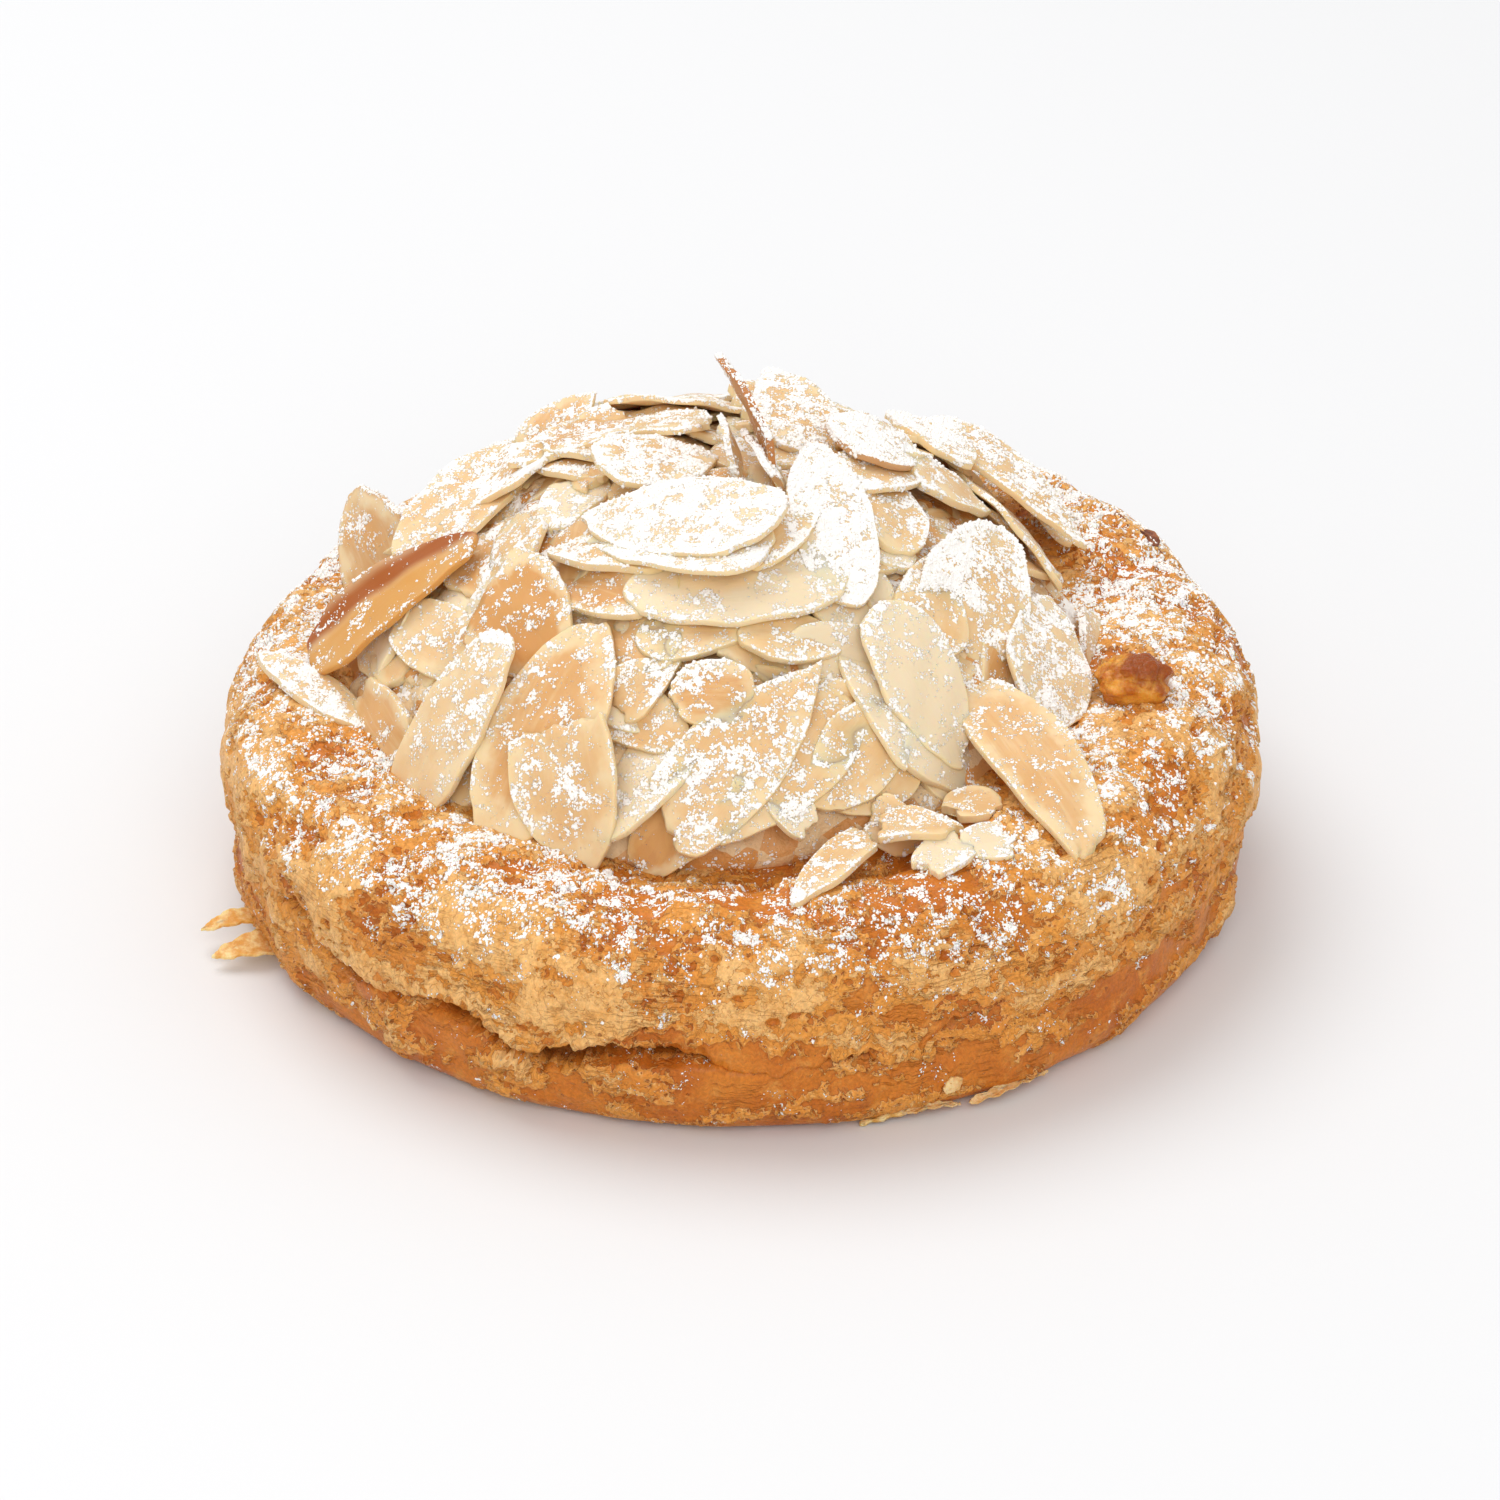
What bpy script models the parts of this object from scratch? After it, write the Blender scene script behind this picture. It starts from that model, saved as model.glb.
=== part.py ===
"""A round almond croissant: a drum of laminated pastry with a heap of sliced almonds on top.

Metres, +Z up. The origin is the centre of the flat base, and -Y is the side seen in the photograph.
Two solids: the pastry, with its rim, seam and flaky relief, and the almond heap that rests on it.
"""

import math
import random

import bmesh
import bpy
from mathutils import Matrix, Vector, noise

MM = 0.001

# The pastry drum.
BASE_RADIUS = 51.8 * MM
FOOT_ROUND = 0.4 * MM
GIRTH_RADIUS = 53.0 * MM
GIRTH_HEIGHT = 15.0 * MM
SEAM_HEIGHT = 10.4 * MM
SEAM_OVERHANG = 1.5 * MM
CREST_RADIUS = 44.0 * MM
CREST_HEIGHT = 25.7 * MM
CREST_RISE_BACK = 2.6 * MM
CREST_RISE_RIGHT = 1.3 * MM
RECESS_RADIUS = 38.0 * MM
RECESS_DEPTH = 2.5 * MM
SHOULDER_FULLNESS = 2.3
SHOULDER_STEPS = 10
BAND_STEPS = 5
LIP = 0.3 * MM
SCREW_STEPS = 88

# The seam between the lid and the lower band, as it wanders round the drum: angle, height in millimetres.
SEAM_ROUTE = [
    (-180, 11.5),
    (-146, 12.5),
    (-138, 9.5),
    (-123, 9.8),
    (-112, 6.9),
    (-103, 9.4),
    (-95, 9.4),
    (-89, 8.3),
    (-79, 9.7),
    (-73, 8.2),
    (-66, 11.9),
    (-48, 14.6),
    (-20, 14.0),
    (15, 12.0),
    (60, 10.5),
    (110, 12.0),
    (150, 10.5),
    (180, 11.5),
]

# The crust's relief, as wavelengths and heights.
BLISTER_SIZE = 13.0 * MM
BLISTER_HEIGHT = 0.7 * MM
FLAKE_LAYER_WIDTH = 7.0 * MM
FLAKE_LAYER_THICKNESS = 2.6 * MM
FLAKE_LAYER_STEP = 0.7 * MM

# The almond heap: its outer form, and the bed of broken almond under the whole flakes.
HEAP_CENTRE = Vector((-3.0, 3.0)) * MM
HEAP_RADIUS = 40.0 * MM
HEAP_TOP = 47.0 * MM
HEAP_SHARPNESS = 2.2
HEAP_FULLNESS = 0.9
BED_RADIUS = 38.0 * MM
BED_DEPTH = 3.6 * MM
BED_BUMP = 0.7 * MM
BED_BUMP_SIZE = 5.0 * MM
BED_LEAST = 1.0 * MM
BED_STEPS = 28
PROP_REACH = 3.0 * MM
FLAT_ENOUGH = math.radians(6.0)
PASTRY_BELOW_HEAP = 5.2 * MM
CLEARANCE = 0.35 * MM

# One sliced almond.
ALMOND_THICKNESS = 1.1 * MM
ALMOND_CAMBER = 0.06
ALMOND_SIDES = 10
BLUNT_END = 0.5
POINTED_END = 0.75

# Caramelised filling that has run out on the right of the rim, and two pastry shreds at the left foot.
LUMP_CENTRE = Vector((41.0, -10.5, 27.3)) * MM
LUMP_SIZE = Vector((7.6, 4.6, 3.6)) * MM
SHRED_THICKNESS = 0.8 * MM
SHRED_ROOT = 1.2 * MM
SHREDS = [
    # angle round the drum, height, length, width
    (194.0, 2.6 * MM, 7.0 * MM, 2.2 * MM),
    (199.0, 1.0 * MM, 6.5 * MM, 2.8 * MM),
]

# The almonds that the front shows, chosen by eye:
# x, y, heading, length, width, lift above the heap's outer form, pitch, roll. Millimetres and degrees.
# The heading runs from the blunt end to the pointed end.
SHOWN_ALMONDS = [
    (-42, -8, 140, 13, 4, 3.2, 5, 5),
    (-36, -14, 100, 16, 7, -1.0, 5, -10),
    (-26, -22, 55, 14, 8, -2.0, -5, -10),
    (-30, -11, -50, 14, 8, -1.0, -15, -5),
    (-33, -10, -60, 12, 7, -2.0, -5, 10),
    (-37, 16, 40, 13, 8, 0.5, 40, 35),
    (-27, 7, 40, 22, 10.5, 0.5, -5, 25),
    (-36, -4, 5, 21, 8.5, 2.0, -10, 8),
    (-21, -15, -80, 17, 12, 0.0, -5, 5),
    (-28, -22, -140, 22, 9, 2.4, -5, 5),
    (-18, -26, 55, 23, 9.5, 0.0, -5, 0),
    (-19, -28, 60, 12, 5, -1.8, 0, -10),
    (-16, -31, 75, 17, 10, 2.2, -8, -5),
    (-11, -20, 160, 12, 7, -1.0, -15, 0),
    (-10, -27, -40, 12, 7, -0.5, 10, -5),
    (-14, -15, -35, 12, 7, -0.5, 10, -5),
    (-13, -12, -25, 13, 7, 0.5, 5, -20),
    (0, -16, 10, 22, 11, 0.0, 0, -5),
    (10, -13, 100, 13, 9, -1.0, -5, 0),
    (9, -8, 105, 20, 9.5, 1.2, 5, 0),
    (15, -2, 105, 14, 8, 0.2, 0, 5),
    (15, -5, 105, 10, 6, -1.2, -10, 0),
    (-6, -12, 165, 20, 9.5, 1.2, -10, 15),
    (-6, -10, 165, 19, 10, 2.4, -10, 0),
    (4, -12, 55, 11, 6, 2.0, -5, -5),
    (-8, 2, 45, 16, 10, 0.5, -15, 10),
    (14, 8, 30, 12, 9, 2.2, -5, 10),
    (14, 3, 50, 14, 8, 0.8, -5, -5),
    (-8, 11, -30, 14, 9, 0.4, 5, 0),
    (-15, 8, -50, 13, 8, 0.0, 0, -5),
    (-17, 6, -55, 12, 7, -0.6, 0, -15),
    (-19, 14, 30, 12, 7, 1.2, 25, 30),
    (6, 12, 125, 14, 9, 2.0, 18, -15),
    (1, 3, 125, 14, 7, 3.4, 35, 70),
    (-1, 0, 110, 8, 3, 2.2, 40, 60),
    (3, -2, 125, 10, 5, 1.6, 20, 50),
    (16, 14, 65, 12, 8, 0.5, -10, -5),
    (22, 7, 25, 12, 8, 0.8, -5, 0),
    (28, 19, -5, 20, 9, 4.2, 10, 0),
    (29, 26, -40, 17, 8, 5.0, 0, 0),
    (20, 18, -45, 11, 8, 2.8, 0, -50),
    (24, -7, 90, 18, 11.5, 0.5, 15, 0),
    (31, -9, 118, 15, 9.5, 1.0, 0, 5),
    (36, 1, 115, 10, 4.5, 1.2, 5, 0),
    (29, -28, -64, 25, 9.5, 5.0, -16, 0),
    (18, -18, -10, 15, 8.5, -0.8, -10, -5),
    (14, -23, -65, 15, 7, -0.4, 15, -10),
    (20, -24, -15, 14, 8, -0.6, -15, -10),
    (19, -24, -55, 12, 7, -1.8, 5, -5),
    (13, -29, -125, 12, 8, 0.2, 0, 0),
    (11, -29, -112, 14, 8.5, 0.8, 5, 0),
    (5, -31, -116, 21, 9, 1.2, 8, 5),
    (0, -31, 65, 25, 10.5, 1.5, -5, -5),
    (-7, -34, -115, 14, 8, -0.4, -10, 5),
    (-9, -31, -120, 16, 8, 0.6, 10, 25),
    (-3, -27, 175, 9, 7, 1.8, 0, 5),
    (-8, -25, 50, 6, 4, -0.8, 0, 0),
    (-3, -22, 0, 8, 5, -0.8, 0, -5),
    (3, -22, 0, 8, 5, -0.8, -5, -5),
    (-2, -30, 35, 7, 4, 0.6, 0, 0),
    (9, -40, -125, 14, 5, 3.4, -5, 0),
    (17, -35, -10, 9, 5, 4.0, 0, 0),
    (20, -39, -130, 8, 5.5, 3.2, -5, -5),
    (24, -37, -160, 8, 5.5, 3.1, 5, -10),
    (23, -31, -5, 7, 5.5, 3.4, 0, 0),
]

# Broken bits that fill the recess at the front right: x, y, size. Millimetres.
BROKEN_BITS = [
    (5, -33, 4),
    (10, -33, 5),
    (14, -33, 5),
    (18, -32, 6),
    (22, -34, 5),
    (21, -29, 5),
]

# The almonds behind, laid by a rule in rings round the back of the heap.
BACK_RINGS = [
    # radius, number, first angle, last angle, lift
    (32.0 * MM, 8, 15.0, 185.0, 0.2 * MM),
    (24.0 * MM, 6, 35.0, 170.0, 0.4 * MM),
    (15.0 * MM, 3, 60.0, 150.0, 0.6 * MM),
]
BACK_SEED = 7
BACK_LENGTH = (16.0 * MM, 23.0 * MM)
BACK_WIDTH = (8.0 * MM, 10.5 * MM)
BACK_SIDES = 8

CRUST_COLOUR = (0.55, 0.29, 0.10, 1.0)
ALMOND_COLOUR = (0.82, 0.66, 0.42, 1.0)


def clear_scene():
    for obj in list(bpy.data.objects):
        bpy.data.objects.remove(obj, do_unlink=True)


def smooth(low, high, value):
    """0 below low, 1 above high, and an even ramp with rounded ends between them."""
    t = min(max((value - low) / (high - low), 0.0), 1.0)
    return t * t * (3.0 - 2.0 * t)


def plain_material(name, colour, roughness):
    material = bpy.data.materials.new(name)
    material.use_nodes = True
    shader = material.node_tree.nodes["Principled BSDF"]
    shader.inputs["Base Color"].default_value = colour
    shader.inputs["Roughness"].default_value = roughness
    shader.inputs["Metallic"].default_value = 0.0
    return material


def crest_height(x, y):
    """The rim's height on the side where x, y lies: the drum rose higher at the back."""
    reach = math.hypot(x, y) or 1.0
    return CREST_HEIGHT + (CREST_RISE_RIGHT * x + CREST_RISE_BACK * y) / reach


def heap_form(x, y):
    """The height of the heap's outer form, down to the recess inside the rim."""
    edge = crest_height(x, y) - RECESS_DEPTH
    out = math.hypot(x - HEAP_CENTRE.x, y - HEAP_CENTRE.y) / HEAP_RADIUS
    share = max(1.0 - out**HEAP_SHARPNESS, 0.0) ** HEAP_FULLNESS
    return edge + (HEAP_TOP - edge) * share


def pastry_top(x, y):
    """The pastry under the heap: the same dome, lower, running out into the recess."""
    edge = crest_height(x, y) - RECESS_DEPTH
    return max(heap_form(x, y) - PASTRY_BELOW_HEAP, edge)


def drum_profile():
    """The drum's outline on its mean side, from the top centre down the outer side to the base centre."""
    recess = CREST_HEIGHT - RECESS_DEPTH
    points = [(share * RECESS_RADIUS, recess) for share in (0.0, 0.25, 0.5, 0.72, 0.88, 1.0)]
    for step in range(1, 4):
        t = step / 4.0
        rise = RECESS_DEPTH * math.sin(t * math.pi / 2.0) ** 2
        points.append((RECESS_RADIUS + t * (CREST_RADIUS - RECESS_RADIUS), recess + rise))
    for step in range(SHOULDER_STEPS + 1):
        angle = step / SHOULDER_STEPS * math.pi / 2.0
        reach = math.sin(angle) ** (2.0 / SHOULDER_FULLNESS)
        drop = max(math.cos(angle), 0.0) ** (2.0 / SHOULDER_FULLNESS)
        radius = CREST_RADIUS + (GIRTH_RADIUS - CREST_RADIUS) * reach
        points.append((radius, GIRTH_HEIGHT + (CREST_HEIGHT - GIRTH_HEIGHT) * drop))
    points.append((GIRTH_RADIUS, (GIRTH_HEIGHT + SEAM_HEIGHT) / 2.0))
    points.append((GIRTH_RADIUS - LIP, SEAM_HEIGHT + LIP))
    lower_top = GIRTH_RADIUS - SEAM_OVERHANG
    points.append((lower_top, SEAM_HEIGHT - LIP))
    for step in range(1, BAND_STEPS + 1):
        t = step / (BAND_STEPS + 1)
        points.append((lower_top - (lower_top - BASE_RADIUS) * t**2.5, SEAM_HEIGHT * (1.0 - t)))
    points.append((BASE_RADIUS, FOOT_ROUND))
    points.append((BASE_RADIUS - FOOT_ROUND, 0.0))
    points.append((0.0, 0.0))
    return points


def turned_mesh(name, profile, steps):
    """A closed mesh turned from a profile of (radius, height) points that starts and ends on the axis."""
    mesh = bpy.data.meshes.new(name + "_profile")
    bm = bmesh.new()
    verts = [bm.verts.new((radius, 0.0, height)) for radius, height in profile]
    for first, second in zip(verts, verts[1:]):
        bm.edges.new((first, second))
    bm.to_mesh(mesh)
    bm.free()
    guide = bpy.data.objects.new(name + "_profile", mesh)
    bpy.context.scene.collection.objects.link(guide)
    screw = guide.modifiers.new("Screw", "SCREW")
    screw.steps = steps
    screw.render_steps = steps
    screw.use_merge_vertices = True
    screw.merge_threshold = 0.00001
    graph = bpy.context.evaluated_depsgraph_get()
    turned = bpy.data.meshes.new_from_object(guide.evaluated_get(graph))
    turned.name = name
    bpy.data.objects.remove(guide, do_unlink=True)
    return turned


def lean_to_crest(bm):
    """Raises the turned drum to its own rim height on each side, and domes it under the heap."""
    for vert in bm.verts:
        x, y, z = vert.co
        reach = math.hypot(x, y)
        if z < SEAM_HEIGHT * 0.99:
            continue
        if reach < RECESS_RADIUS * 1.001:
            vert.co.z = pastry_top(x, y)
            continue
        share = min((z - SEAM_HEIGHT) / (CREST_HEIGHT - SEAM_HEIGHT), 1.0)
        vert.co.z += (crest_height(x, y) - CREST_HEIGHT) * max(share, 0.0)


def seam_height(x, y):
    """The seam's height on the side where x, y lies."""
    angle = math.degrees(math.atan2(y, x))
    for (first, low), (last, high) in zip(SEAM_ROUTE, SEAM_ROUTE[1:]):
        if angle <= last:
            return (low + (high - low) * smooth(first, last, angle)) * MM
    return SEAM_ROUTE[-1][1] * MM


def wander_seam(bm):
    """Moves the turned seam onto its route, with the rows near it."""
    for vert in bm.verts:
        x, y, z = vert.co
        if math.hypot(x, y) < CREST_RADIUS:
            continue
        near = smooth(0.0, SEAM_HEIGHT, z) * (1.0 - smooth(SEAM_HEIGHT, 2.0 * SEAM_HEIGHT, z))
        vert.co.z += near * (seam_height(x, y) - SEAM_HEIGHT)


def flaky_step(point):
    """The crust's torn layers: level patches with steep edges, wider than they are thick."""
    stretched = Vector((point.x, point.y, 0.0)) / FLAKE_LAYER_WIDTH
    stretched.z = point.z / FLAKE_LAYER_THICKNESS
    value = 2.2 * noise.fractal(stretched, 0.8, 2.0, 3)
    return math.floor(value) + smooth(0.35, 0.65, value - math.floor(value))


def roughen_crust(bm):
    """Blisters and torn layers, fading out at the foot and under the heap."""
    bm.normal_update()
    moves = []
    for vert in bm.verts:
        reach = math.hypot(vert.co.x, vert.co.y)
        share = smooth(RECESS_RADIUS - 1.0 * MM, CREST_RADIUS - 2.0 * MM, reach)
        share *= smooth(0.2 * MM, 3.0 * MM, vert.co.z)
        blister = BLISTER_HEIGHT * noise.noise(vert.co / BLISTER_SIZE)
        step = FLAKE_LAYER_STEP * flaky_step(vert.co)
        moves.append(vert.normal * share * (blister + step))
    for vert, move in zip(bm.verts, moves):
        vert.co += move


def add_lump(collection):
    bm = bmesh.new()
    bmesh.ops.create_icosphere(bm, subdivisions=2, radius=0.5)
    for vert in bm.verts:
        vert.co *= 1.0 + 0.25 * noise.noise(vert.co * 4.0)
        vert.co = vert.co * LUMP_SIZE + LUMP_CENTRE
    return new_object("lump", bm, collection)


def add_shreds(collection):
    """Thin torn strips of pastry that stand out of the wall at its foot."""
    for number, (angle, height, length, width) in enumerate(SHREDS):
        bm = bmesh.new()
        bmesh.ops.create_cone(bm, cap_ends=True, segments=6, radius1=0.5, radius2=0.5, depth=1.0)
        turn = Matrix.Rotation(math.radians(angle), 4, "Z")
        place = turn @ Matrix.Translation((BASE_RADIUS + SHRED_ROOT, 0.0, height))
        sizes = Matrix.Diagonal((length, width, SHRED_THICKNESS, 1.0))
        bmesh.ops.transform(bm, matrix=place @ sizes, verts=bm.verts)
        new_object(f"shred_{number}", bm, collection)


def new_object(name, bm, collection):
    mesh = bpy.data.meshes.new(name)
    bmesh.ops.recalc_face_normals(bm, faces=bm.faces)
    bm.to_mesh(mesh)
    bm.free()
    obj = bpy.data.objects.new(name, mesh)
    collection.objects.link(obj)
    return obj


def boolean(obj, operation, solver, other=None, group=None):
    """Applies one Boolean, with an object or a whole collection as the other side."""
    modifier = obj.modifiers.new(operation.title(), "BOOLEAN")
    modifier.operation = operation
    modifier.solver = solver
    if group:
        modifier.operand_type = "COLLECTION"
        modifier.collection = group
    else:
        modifier.object = other
    apply_modifiers(obj)


def apply_modifiers(obj):
    graph = bpy.context.evaluated_depsgraph_get()
    mesh = bpy.data.meshes.new_from_object(obj.evaluated_get(graph))
    mesh.name = obj.name
    obj.modifiers.clear()
    obj.data = mesh


def remove_helpers(collection):
    for obj in list(collection.objects):
        bpy.data.objects.remove(obj, do_unlink=True)
    bpy.data.collections.remove(collection)


def keep_largest_body(obj):
    """Drops loose scraps and fills sealed hollows, which are the mesh's smaller closed shells."""
    bm = bmesh.new()
    bm.from_mesh(obj.data)
    unseen = set(bm.faces)
    shells = []
    while unseen:
        front = [unseen.pop()]
        shell = set(front)
        while front:
            closed_edges = [edge for edge in front.pop().edges if len(edge.link_faces) == 2]
            for edge in closed_edges:
                for face in unseen.intersection(edge.link_faces):
                    unseen.discard(face)
                    shell.add(face)
                    front.append(face)
        shells.append(shell)
    shells.sort(key=len, reverse=True)
    for shell in shells[1:]:
        bmesh.ops.delete(bm, geom=list(shell), context="FACES")
    bm.to_mesh(obj.data)
    bm.free()


def merge_flat_faces(obj):
    """Joins the splinters that the union cut out of each almond's faces."""
    decimate = obj.modifiers.new("Decimate", "DECIMATE")
    decimate.decimate_type = "DISSOLVE"
    decimate.angle_limit = FLAT_ENOUGH
    obj.modifiers.new("Triangulate", "TRIANGULATE")
    apply_modifiers(obj)


def almond_outline(across):
    """Half the width of a sliced almond at a share of its length, as a share of its full width."""
    top = BLUNT_END / (BLUNT_END + POINTED_END)
    widest = top**BLUNT_END * (1.0 - top) ** POINTED_END
    return 0.5 * across**BLUNT_END * (1.0 - across) ** POINTED_END / widest


def almond_frame(x, y, heading, lift, pitch, roll):
    """Where an almond lies: on the heap's form, along its slope, then pitched and rolled."""
    reach = 1.0 * MM
    slope_x = (heap_form(x + reach, y) - heap_form(x - reach, y)) / (2.0 * reach)
    slope_y = (heap_form(x, y + reach) - heap_form(x, y - reach)) / (2.0 * reach)
    up = Vector((-slope_x, -slope_y, 1.0)).normalized()
    along = Vector((math.cos(heading), math.sin(heading), 0.0))
    along = (along - up * along.dot(up)).normalized()
    side = up.cross(along)
    lie = Matrix((along, side, up)).transposed().to_4x4()
    tilt = Matrix.Rotation(-pitch, 4, "Y") @ Matrix.Rotation(roll, 4, "X")
    return Matrix.Translation((x, y, heap_form(x, y) + lift)) @ lie @ tilt


def add_almond(name, sides, length, width, frame, collection):
    """A thin teardrop plate, slightly cambered, with its faces fanned from their centres."""
    bm = bmesh.new()
    bmesh.ops.create_cone(
        bm, cap_ends=True, cap_tris=True, segments=sides, radius1=1.0, radius2=1.0, depth=1.0
    )
    for vert in bm.verts:
        x, y, z = vert.co
        across = (1.0 + x) / 2.0
        half = almond_outline(min(max(across, 0.0), 1.0)) * width
        edge = half if abs(y) > 0.01 else 0.0
        camber = ALMOND_CAMBER * length * (0.5 - x * x)
        vert.co = Vector((x * length / 2.0, math.copysign(edge, y), z * ALMOND_THICKNESS + camber))
    bmesh.ops.transform(bm, matrix=frame, verts=bm.verts)
    return new_object(name, bm, collection)


def shown_almonds():
    """(frame, length, width, sides) of each almond that the front shows."""
    for x, y, heading, length, width, lift, pitch, roll in SHOWN_ALMONDS:
        angles = [math.radians(angle) for angle in (heading, pitch, roll)]
        frame = almond_frame(x * MM, y * MM, angles[0], lift * MM, angles[1], angles[2])
        yield frame, length * MM, width * MM, ALMOND_SIDES


def back_almonds():
    """The same for the almonds that a rule lays in rings behind."""
    draw = random.Random(BACK_SEED)
    for radius, count, first, last, lift in BACK_RINGS:
        for number in range(count):
            angle = math.radians(first + (last - first) * number / (count - 1) + draw.uniform(-6, 6))
            x = HEAP_CENTRE.x + radius * math.cos(angle)
            y = HEAP_CENTRE.y + radius * math.sin(angle)
            heading = angle + math.radians(draw.uniform(-80.0, 80.0))
            pitch = math.radians(draw.uniform(-8.0, 8.0))
            roll = math.radians(draw.uniform(-12.0, 12.0))
            frame = almond_frame(x, y, heading, lift, pitch, roll)
            yield frame, draw.uniform(*BACK_LENGTH), draw.uniform(*BACK_WIDTH), BACK_SIDES


def add_bits(collection):
    for number, (x, y, size) in enumerate(BROKEN_BITS):
        bm = bmesh.new()
        bmesh.ops.create_icosphere(bm, subdivisions=1, radius=size / 2.0 * MM)
        height = pastry_top(x * MM, y * MM) + 0.4 * size * MM
        bmesh.ops.translate(bm, vec=(x * MM, y * MM, height), verts=bm.verts)
        new_object(f"bit_{number}", bm, collection)


def bed_height(x, y, props):
    """The bed's top: below the heap's outer form, bumpy, and raised where an almond rests on it."""
    bump = BED_BUMP * noise.noise(Vector((x, y, 0.0)) / BED_BUMP_SIZE)
    height = max(heap_form(x, y) - BED_DEPTH + bump, pastry_top(x, y) + 2.0 * CLEARANCE + BED_LEAST)
    for prop in props:
        if math.hypot(x - prop.x, y - prop.y) < PROP_REACH:
            height = max(height, prop.z)
    return height


def add_bed(collection, almonds):
    """The low bed of broken almond that holds the flakes together, clear of the pastry."""
    shares = (0.0, 0.3, 0.55, 0.75, 0.9, 1.0)
    top = [(share * BED_RADIUS, 1.0) for share in shares]
    under = [(share * BED_RADIUS, 0.0) for share in reversed(shares)]
    mesh = turned_mesh("almond_heap", top + under, BED_STEPS)
    props = [frame @ Vector((0.0, 0.0, ALMOND_CAMBER * length / 2.0)) for frame, length, _, _ in almonds]
    for vert in mesh.vertices:
        x = vert.co.x + HEAP_CENTRE.x
        y = vert.co.y + HEAP_CENTRE.y
        z = bed_height(x, y, props) if vert.co.z > 0.5 else pastry_top(x, y) + 2.0 * CLEARANCE
        vert.co = Vector((x, y, z))
    obj = bpy.data.objects.new("almond_heap", mesh)
    collection.objects.link(obj)
    return obj


def make_pastry(collection):
    mesh = turned_mesh("pastry", drum_profile(), SCREW_STEPS)
    bm = bmesh.new()
    bm.from_mesh(mesh)
    lean_to_crest(bm)
    wander_seam(bm)
    roughen_crust(bm)
    bm.to_mesh(mesh)
    bm.free()
    obj = bpy.data.objects.new("pastry", mesh)
    collection.objects.link(obj)
    return obj


def fuse_pastry_trim(pastry):
    trim = bpy.data.collections.new("pastry_trim")
    bpy.context.scene.collection.children.link(trim)
    add_lump(trim)
    add_shreds(trim)
    boolean(pastry, "UNION", "EXACT", group=trim)
    remove_helpers(trim)
    keep_largest_body(pastry)


def make_heap(collection, pastry):
    almonds = [*shown_almonds(), *back_almonds()]
    heap = add_bed(collection, almonds)
    flakes = bpy.data.collections.new("almonds")
    bpy.context.scene.collection.children.link(flakes)
    for number, (frame, length, width, sides) in enumerate(almonds):
        add_almond(f"almond_{number}", sides, length, width, frame, flakes)
    add_bits(flakes)
    boolean(heap, "UNION", "MANIFOLD", group=flakes)
    remove_helpers(flakes)
    clear_of_pastry = pastry.copy()
    clear_of_pastry.data = pastry.data.copy()
    clear_of_pastry.data.transform(Matrix.Translation((0.0, 0.0, CLEARANCE)))
    bpy.context.scene.collection.objects.link(clear_of_pastry)
    boolean(heap, "DIFFERENCE", "MANIFOLD", other=clear_of_pastry)
    bpy.data.objects.remove(clear_of_pastry, do_unlink=True)
    merge_flat_faces(heap)
    keep_largest_body(heap)
    return heap


def finish(obj, material):
    obj.data.materials.clear()
    obj.data.materials.append(material)
    obj.data.shade_smooth()
    obj.data.set_sharp_from_angle(angle=math.radians(40.0))


def main():
    clear_scene()
    collection = bpy.data.collections.new("almond_croissant")
    bpy.context.scene.collection.children.link(collection)
    pastry = make_pastry(collection)
    fuse_pastry_trim(pastry)
    heap = make_heap(collection, pastry)
    finish(pastry, plain_material("crust", CRUST_COLOUR, 0.6))
    finish(heap, plain_material("almond", ALMOND_COLOUR, 0.5))


main()
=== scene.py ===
"""The looks of a round almond croissant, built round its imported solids.

Metres in Blender, but every size below is in millimetres and is turned into metres where a mesh is made.
+Z is up, the origin is the centre of the flat base, and -Y is the side that the photograph shows.
The pastry is a lid over a lower band, both in torn thin layers.
The heap is sliced almonds on a sugared bed.
Powdered sugar lies on all that faces the sky, as a coat in the materials and as real grains.
"""

import math
import random

import bpy
import numpy as np
from mathutils import Matrix, Vector


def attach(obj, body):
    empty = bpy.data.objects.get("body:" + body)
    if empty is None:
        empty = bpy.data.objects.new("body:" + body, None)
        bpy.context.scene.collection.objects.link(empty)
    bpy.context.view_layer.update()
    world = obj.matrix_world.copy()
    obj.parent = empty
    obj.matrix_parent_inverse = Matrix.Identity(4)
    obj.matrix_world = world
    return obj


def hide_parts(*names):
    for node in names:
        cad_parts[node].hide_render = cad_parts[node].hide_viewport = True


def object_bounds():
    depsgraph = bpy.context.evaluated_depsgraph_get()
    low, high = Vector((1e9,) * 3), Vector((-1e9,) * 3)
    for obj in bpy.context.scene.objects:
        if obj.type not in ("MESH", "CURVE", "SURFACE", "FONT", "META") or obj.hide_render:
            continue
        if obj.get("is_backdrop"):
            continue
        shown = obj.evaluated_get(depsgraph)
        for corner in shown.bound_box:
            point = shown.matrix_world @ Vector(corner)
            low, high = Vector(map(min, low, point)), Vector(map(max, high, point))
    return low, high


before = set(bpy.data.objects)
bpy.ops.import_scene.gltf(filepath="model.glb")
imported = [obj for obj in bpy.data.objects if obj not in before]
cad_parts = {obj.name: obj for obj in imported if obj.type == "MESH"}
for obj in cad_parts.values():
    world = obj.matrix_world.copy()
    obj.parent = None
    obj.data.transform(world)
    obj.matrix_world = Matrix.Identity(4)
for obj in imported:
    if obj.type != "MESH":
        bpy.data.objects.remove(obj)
cad_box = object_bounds()
bpy.ops.object.select_all(action="DESELECT")

MM = 0.001

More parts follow.
